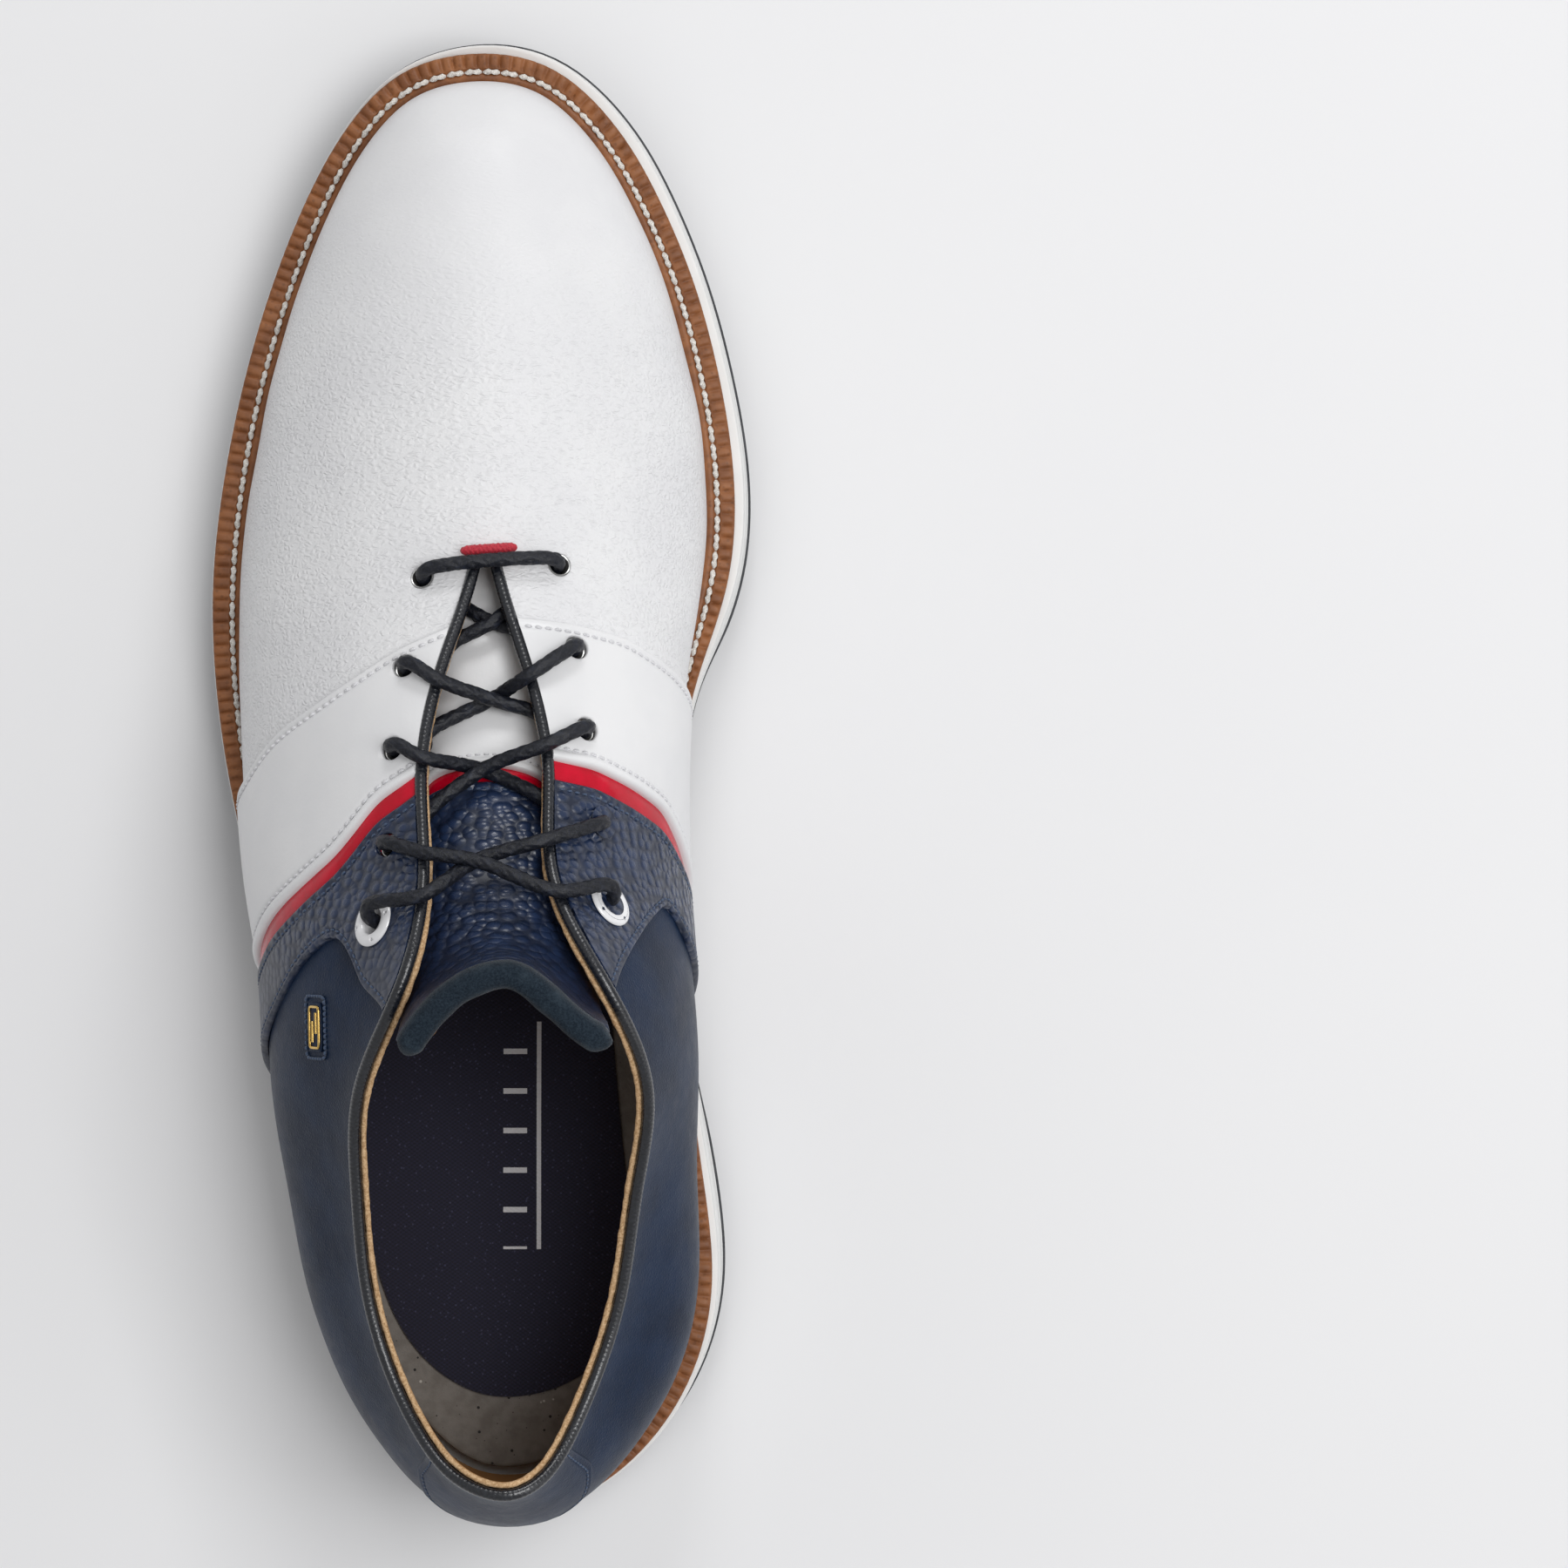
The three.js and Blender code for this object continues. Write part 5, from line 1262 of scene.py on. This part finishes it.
def welt():
    count = 2600
    u = even_stations(count)
    width = station_at(u)[:, WELT_WIDTH]
    s = lengths_along(outline(u, np.full(count, 3.0)))
    ribs = np.exp(-((((s / RIB_PITCH) % 1 - 0.5) / 0.17) ** 2))
    relief = 0.05 * ripple(np.stack([s, s * 0, s * 0], -1), 5, 31)
    band = width - 0.45 - BAND_START
    rings = [(np.full(count, a), b, 0) for a, b in WELT_LIP + WELT_GROOVE]
    rings += [(BAND_START + band * f, lift, share) for f, lift, share in WELT_BAND]
    rings += [(width - inside, -drop, share) for inside, drop, share in WELT_EDGE]
    rings.append((np.full(count, -1.1), -3.0, 0))
    made = []
    for offset, lift, share in rings:
        plan = outline(u, offset - share * 0.1 * ribs)
        z = welt_top(plan[:, 1]) + lift - share * RIB_DEPTH * ribs + relief * (lift > -1)
        made.append(np.concatenate([plan, z[:, None]], -1))
    faces = grid_faces(count, len(rings), closed_rows=True, closed_columns=True)
    new_piece("welt", (np.stack(made, 1).reshape(-1, 3), faces), "welt", smooth=70)

    u = even_stations(1200)
    u = np.append(u, u[0] + STATIONS)
    plan = outline(u, np.full(len(u), SEAM_OFFSET))
    line = np.concatenate([plan, welt_top(plan[:, 1])[:, None] - 0.3], -1)
    lap = lengths_along(line)[-1]
    pitch = lap / round(lap / SEAM_PITCH) * 0.99999  # a whole number of stitches, however it rounds
    rows = [(line, np.tile(UP, (len(line), 1)))]
    size = {"pitch": pitch, "length": 3.5, "radius": 0.52, "rise": 0.34, "ply": 0.34}
    thread_row("welt_stitches", rows, "welt_thread", **size)


welt()

# ---- Footbed ----

FOAM_PROFILE = [(-9, 0.42), (-7.2, 0.8), (-6.1, 1.0), (-5.5, 0.8), (-5.3, 0.2), (-5.6, -2.0), (-6.3, -4.4)]
COVER_INSET = 9.5
COVER_PROFILE = [(1.2, 1.2), (0.45, 1.16), (0.1, 1.0), (0, 0.75), (0.1, 0.47)]


def footbed():
    body = slab([(flat(offset), footbed_top, lift) for offset, lift in FOAM_PROFILE], 150, 24)
    new_piece("footbed_foam", body, "foam")
    cloth = slab(
        [(flat(-COVER_INSET - extra), footbed_top, lift) for extra, lift in COVER_PROFILE],
        150,
        30,
        bend=lambda y: y - 10 * (np.clip(y - 92, 0, None) / 44) ** 2,
    )
    new_piece("footbed_cover", cloth, "cloth")


footbed()

# ---- Cleats ----

CLEAT_TOP = CLEAT_HEIGHT - 0.3
CLEAT_LEGS, LEG_SIDES = 6, 14
CLEAT_PROFILE = [
    (0, 1.9), (4, 1.9), (4.6, 2.1), (6.6, 2.3), (10.2, CLEAT_TOP - 1.8), (10.8, CLEAT_TOP - 1.3),
    (11, CLEAT_TOP - 0.8), (11, CLEAT_TOP - 0.25), (10.8, CLEAT_TOP), (3.6, CLEAT_TOP),
    (3.6, CLEAT_TOP + 3), (3.3, CLEAT_TOP + 3.3), (0, CLEAT_TOP + 3.3),
]


def cleat_leg(x, y, angle):
    """A tapered leg that leans outwards and round, cut off flat at the ground."""
    out = np.array([math.cos(angle), math.sin(angle), 0])
    turn = np.array([-out[1], out[0], 0])
    f = np.linspace(0, 1, 10)[:, None]
    line = np.array([x, y, 3.6]) + out * (8.2 + 0.9 * f) + turn * (1.6 * f * f) - np.array(UP) * 3.55 * f
    points, faces = sweep(line, 1.75 - 0.75 * f, LEG_SIDES)
    points[:, 2] = np.maximum(points[:, 2], 0.0)
    return points, faces


for _n, (_x, _y) in enumerate(CLEAT_SPOTS, 1):
    _parts = [lathe(CLEAT_PROFILE, 64, (_x, _y, 0), UP)]
    _parts += [cleat_leg(_x, _y, _leg * 2 * math.pi / CLEAT_LEGS) for _leg in range(CLEAT_LEGS)]
    new_piece(f"cleat_{_n}", gather(_parts), "cleat", f"cleat_{_n}", merge=0, smooth=50)

# ---- Tongue ----

# Rows from the base of the throat to the top: centre x, y, z, half width and sink of the sides.
TONGUE = np.array(
    [
        [-4.1, -47, 57.8, 8, 3],
        [-4.2, -40, 60.9, 8.2, 3.5],
        [-4.6, -20, 70.2, 10.4, 4.5],
        [-5, 0, 79, 13.3, 6],
        [-5.8, 15, 86.6, 15.6, 8.5],
        [-7.3, 26, 94.6, 17.6, 12],
        [-9.2, 32, 102.4, 19.8, 15.5],
        [-10.4, 34.7, 111.5, 21.8, 17.2],
        [-10.5, 35.6, 117, 22.2, 17.6],
    ]
)
ARC = 0.22  # how far the tongue's seams bow towards the toe, in rows of TONGUE
TONGUE_TOP = 7.3
LATERAL_WING, MEDIAL_WING = (0.3, 1.05), (1.0, 0.76)  # how flared the sides are near the top, and depth


def tongue_row(a):
    a = np.asarray(a, float)
    last = len(TONGUE) - 1
    i = np.clip(np.floor(a).astype(int), 0, last - 1)
    t = (a - i)[..., None]
    p0, p1, p2, p3 = (TONGUE[np.clip(i + n, 0, last)] for n in (-1, 0, 1, 2))
    squares = (2 * p0 - 5 * p1 + 4 * p2 - p3) * t * t
    return 0.5 * (2 * p1 + (p2 - p0) * t + squares + (3 * p1 - p0 - 3 * p2 + p3) * t**3)


def tongue_point(a, b):
    """A point of the tongue: a rows up it and b across it, from the medial side (-1) to the lateral (1)."""
    a, b = np.broadcast_arrays(np.asarray(a, float), np.asarray(b, float))
    row, ahead, behind = tongue_row(a), tongue_row(a + 0.02), tongue_row(a - 0.02)
    rise = unit((ahead - behind)[..., 1:3])
    opened = smoothstep(5, 7, a)
    flare, depth = (np.where(b > 0, *pair) for pair in zip(LATERAL_WING, MEDIAL_WING))
    flare = flare * opened
    angle = b * np.pi / 2
    across = (1 - flare) * np.sin(angle) + flare * b
    arch = (1 - flare) * (1 - np.cos(angle)) + flare * (1 - np.cos(2 * angle)) / 2
    sink = row[..., 4] * arch * (1 + opened * (depth - 1))
    x, y, z = (row[..., n] for n in range(3))
    return np.stack([x + row[..., 3] * across, y + rise[..., 1] * sink, z - rise[..., 0] * sink], -1)


def tongue_sheet(start, end, length, edges=(True, True), bow=(ARC, ARC), wide=0.9):
    b = np.linspace(wide, -wide, 70)[None, :]
    first, last = start + bow[0] * b * b, end + bow[1] * b * b
    return Sheet(tongue_point(first + (last - first) * stops(length, *edges, step=0.8)[:, None], b))


def tongue_piece(name, sheet, outer, inner, look):
    return new_piece(name, sheet.solid(outer, inner, floor=False), look, "tongue")


def tongue():
    under = -1.1
    base = tongue_sheet(0.02, 2.9, 48)
    rear = rounded(base.rear, 0.8)
    rise = 1.1 * (0.1 + 0.9 * rear * rounded(base.front, 0.8))
    rise = rise + 0.4 * rear * (1 - smoothstep(1.3, 2.2, base.rear)) - 0.22 * groove(base.rear, 2.5)
    outer = under + (rise + 0.1 * ripple(base.at(0), 14, 41))
    tongue_piece("tongue_base", base, outer, under, "saddle")
    thread_row("tongue_base_stitches", [base.line("rear", 2.5, outer)], "white_thread", body="tongue")

    strip = tongue_sheet(2.75, 3.35, 12, (False, False))
    swell = 0.4 * np.clip(1 - ((strip.front / strip.front[-1:] - 0.5) / 0.3) ** 2, 0, 1)
    tongue_piece("tongue_accent", strip, -1.15 + swell, -2.2, "red")

    cover = tongue_sheet(3.06, TONGUE_TOP, 56, bow=(ARC, 0))
    rise = 1.15 * edged((cover.front, 0.8), (cover.rear, 0.8), (cover.low, 0.8), low=0.1)
    rise = rise * (0.1 + 0.9 * rounded(cover.high, 0.8)) - 0.25 * groove(cover.front, 1.7, 0.5)
    outer = under + (rise + 0.25 * ripple(cover.at(0), 16, 43) * smoothstep(2, 6, cover.front))
    tongue_piece("tongue_cover", cover, outer, under, "pebbled")
    thread_row("tongue_cover_stitches", [cover.line("front", 1.7, outer)], "navy_thread", body="tongue")

    foam = tongue_sheet(0.1, TONGUE_TOP - 0.05, 100, bow=(0, 0), wide=0.86)
    thinner = 3.0 * smoothstep(14, 2, foam.rear)  # both layers thin out under the padded edge
    tongue_piece("tongue_foam", foam, -2.35, -6.5 + thinner, "foam")
    lining = tongue_sheet(0, TONGUE_TOP, 100, bow=(0, 0))
    thinner = 3.0 * smoothstep(14, 2, lining.rear)
    tongue_piece("tongue_lining", lining, -6.6 + thinner, -7.5 + thinner, "lining")


def tongue_pad():
    """The padded top edge, a soft roll that follows the tongue's top from side to side."""
    end, turns = 0.93, 40
    b = np.linspace(end, -end, 90)
    middle = tongue_point(7.46, b)
    sideways = tongue_point(7.52, b - 0.02) - tongue_point(7.52, b + 0.02)
    out = unit(np.cross(sideways, tongue_point(7.6, b) - tongue_point(7.4, b)))
    out = np.where((out[:, 1:2] > 0), -out, out)
    up = unit(tongue_point(7.7, b) - tongue_point(7.3, b))
    ends = (np.clip((end - np.abs(b)) / 0.1, 0.02, 1) ** 0.5)[:, None]
    c, s = np.cos(circle(turns)), np.sin(circle(turns))
    across = np.sign(c) * np.abs(c) ** 0.8 * 2.75
    tall = np.sign(s) * np.abs(s) ** 0.85 * 3.3
    points = middle[:, None] + out[:, None] * (across * ends - 2.5)[..., None]
    points = points + up[:, None] * (tall * ends)[..., None]
    points = points + 0.14 * unit(points - middle[:, None]) * ripple(points, 7, 51)[..., None]
    made = (points.reshape(-1, 3), tube_faces(len(b), turns))
    new_piece("tongue_binding", made, "suede", "tongue")


tongue()
tongue_pad()

# ---- Eyelets and trim ----

EYELET_PROFILE = [(1.95, -4.1), (3.6, -4.1), (3.6, -3.6), (2.32, -3.5)]
EYELET_PROFILE += [(2.32, -0.3), (2.2, -0.12), (2.02, -0.2), (1.95, -0.5)]
# The ring over the leather as (radius, height over the seat).
TOP_EYELET_RING = [
    (3.1, 0), (4.95, -0.05), (5.1, 0.12), (5.05, 0.38), (4.7, 0.62), (4.1, 0.82), (3.5, 0.88), (3.0, 0.78),
    (2.7, 0.45), (2.56, 0),
]
DENT_TURNS, DENT_RADIUS = (0.4, 1.97, 3.54, 5.11), 4.15


def seat_of(point, reach=4.6):
    """The plane that best fits the last round a hole: its normal, and how far the last rises over it."""
    side = "lateral" if point[0] > -6 else "medial"
    u, v = last_over(side, point[0], point[1])
    du, dv = np.meshgrid(np.linspace(-0.4, 0.4, 25), np.linspace(-0.12, 0.12, 25))
    near = on_last(u + du, np.clip(v + dv, 0, 1)).reshape(-1, 3) - point
    away = np.linalg.norm(near, axis=1)
    ring = near[(away > reach - 1.2) & (away < reach + 0.6)]
    out = np.linalg.svd(ring - ring.mean(0))[2][2]
    out = out * np.sign(out[2])
    return out, float(np.percentile(ring @ out, 92))


def top_eyelet(name, point):
    """An enamelled ring that rests on the leather, with small dents from the tool that set it."""
    normal, rise = seat_of(point)
    seat = OVERLAY + OVERLAY_THICK + max(rise, 0) + 0.1
    profile = [(2.55, -2.9), (3.05, -2.9), *[(r, seat + h) for r, h in TOP_EYELET_RING]]
    piece = new_piece(name, lathe(profile, 56, point, normal), "enamel", smooth=50)
    across = unit(np.cross(normal, [0.0, 1.0, 0.0]))
    up = np.cross(normal, across)
    dent = [(0, seat + 0.35), (0.34, seat + 0.35), (0.42, seat + 2), (0, seat + 2)]
    spots = [point + (across * math.cos(a) + up * math.sin(a)) * DENT_RADIUS for a in DENT_TURNS]
    punch(piece, [lathe(dent, 14, spot, normal) for spot in spots])


for (_side, _n), (_point, _normal) in HOLES.items():
    if _n == TOP_HOLE:
        top_eyelet(f"top_eyelet_{_side}", _point)
    else:
        new_piece(f"eyelet_{_side}_{_n + 1}", lathe(EYELET_PROFILE, 40, _point, _normal), "steel", smooth=50)


def bar_tack():
    """A bar of wound red thread across the base of the throat."""
    half, sides = 5.6, 24
    x = np.linspace(-half, half, 90)
    spot = np.stack([-5 + x, -44.4 + 0.07 * x], -1)
    z = [on_last(*last_over("lateral" if px > -3.6 else "medial", px, py))[2] for px, py in spot]
    z = np.convolve(np.pad(z, 12, mode="edge"), np.ones(25) / 25, "valid") + 1.9
    line = np.concatenate([spot, z[:, None]], -1)
    angle, x = circle(sides), x[:, None]
    twist = 0.13 * np.abs(np.sin(1.5 * angle + x * 2.6)) + 0.05 * np.sin(4 * angle - x * 7)
    radius = 1.02 * np.clip(1 - (x / half) ** 8, 0.03, 1) ** 0.5 * (0.93 + twist)
    new_piece("bar_tack", sweep(line, radius, sides), "red_thread", smooth=180)


bar_tack()

BADGE_AT = (28.3, 49.3)
BADGE_RINGS = [(5.7, 9.7, 0.05), (5.8, 9.8, 0.2), (5.6, 9.6, 0.32), (0.3, 0.5, 0.34)]  # width, height, level
BADGE_BARS = [(-0.75, -2.9, 1.2), (0.75, -1.2, 2.9)]  # place across, lower end, upper end
BADGE_SIDES = 48


def badge():
    """A small plain plate with a raised frame and two bars, and the row of stitches round it."""
    place = last_over("lateral", *BADGE_AT)
    point, normal = on_last(*place), normal_on(*place)
    up = unit(np.array([0.0, 1.0, 0.0]) - normal * normal[1])
    across = np.cross(up, normal)

    def loop(width, height, level, count=BADGE_SIDES):
        a, b = rounded_ring(width, height, count, 0.25)
        return point + across * a[:, None] + up * b[:, None] + normal * level

    field = np.concatenate([loop(*ring) for ring in BADGE_RINGS])
    made = (field, tube_faces(len(BADGE_RINGS), BADGE_SIDES))
    new_piece("badge_field", made, "navy", extra=True, smooth=45)
    parts = [sweep(loop(4.0, 8.0, 0.42, 72), 0.3, 10, closed=True)]
    for a, low, high in BADGE_BARS:
        b = np.linspace(low, high, 20)[:, None]
        parts.append(sweep(point + across * a + up * b + normal * 0.42, 0.34, 10))
    new_piece("side_badge", gather(parts), "gold", smooth=60)
    edge = loop(8.2, 12.2, 0.12)
    edge = resample(np.concatenate([edge, edge[:1]]), step=0.3)
    rows = [(edge, np.tile(normal, (len(edge), 1)))]
    thread_row("badge_stitches", rows, "navy_thread", "smooth_navy", pitch=1.1, length=0.95, radius=0.3)


badge()

# ---- Parts shown as they are in the frame ----

for _node, _look in {
    "filler": "cork",
    "insole_board": "board",
    "shank": "steel",
    "toe_puff": "stiff",
    "heel_counter": "stiff",
    **{f"receptacle_{n}": "rubber" for n in range(1, len(CLEAT_SPOTS) + 1)},
}.items():
    _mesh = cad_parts[_node].data
    _mesh.materials.clear()
    _mesh.materials.append(LOOKS[_look][0])

# ---- Floor and light ----

FLOOR_HALF, FLOOR_POINTS = 6, 24
WORLD_STRENGTH = 0.44
LIGHTS = [  # name, place and size in metres, watts
    ("overhead", (-0.5, -0.1, 1.35), 0.7, 10),
    ("toe_side", (-0.1, -1.25, 0.76), 0.4, 4.6),
    ("fill", (-0.9, 0.4, 0.7), 0.8, 1.4),
]
LIT_POINT = Vector((0.0, 0.0, 0.04))


def studio():
    x = np.linspace(-FLOOR_HALF, FLOOR_HALF, FLOOR_POINTS)
    grid = np.stack(np.meshgrid(x, x, indexing="ij"), -1).reshape(-1, 2)
    mesh = bpy.data.meshes.new("floor")
    faces = [f[::-1] for f in grid_faces(FLOOR_POINTS, FLOOR_POINTS)]
    mesh.from_pydata([(a, b, 0.0) for a, b in grid], [], faces)
    floor = bpy.data.objects.new("floor", mesh)
    bpy.context.scene.collection.objects.link(floor)
    pale = plain("pale_floor", (0.8, 0.8, 0.81), (0.79, 0.79, 0.802), 0.9, size=200, depth=0.0)
    mesh.materials.append(pale)

    world = bpy.data.worlds.new("studio")
    bpy.context.scene.world = world
    world.use_nodes = True
    background = world.node_tree.nodes["Background"].inputs
    background["Color"].default_value = (1, 1, 1, 1)
    background["Strength"].default_value = WORLD_STRENGTH
    for name, place, size, power in LIGHTS:
        lamp = bpy.data.objects.new(name, bpy.data.lights.new(name, "AREA"))
        lamp.data.size = size
        lamp.data.energy = power
        lamp.location = place
        lamp.rotation_euler = (LIT_POINT - Vector(place)).to_track_quat("-Z", "Y").to_euler()
        bpy.context.scene.collection.objects.link(lamp)
    bpy.context.scene.view_settings.view_transform = "Standard"


studio()
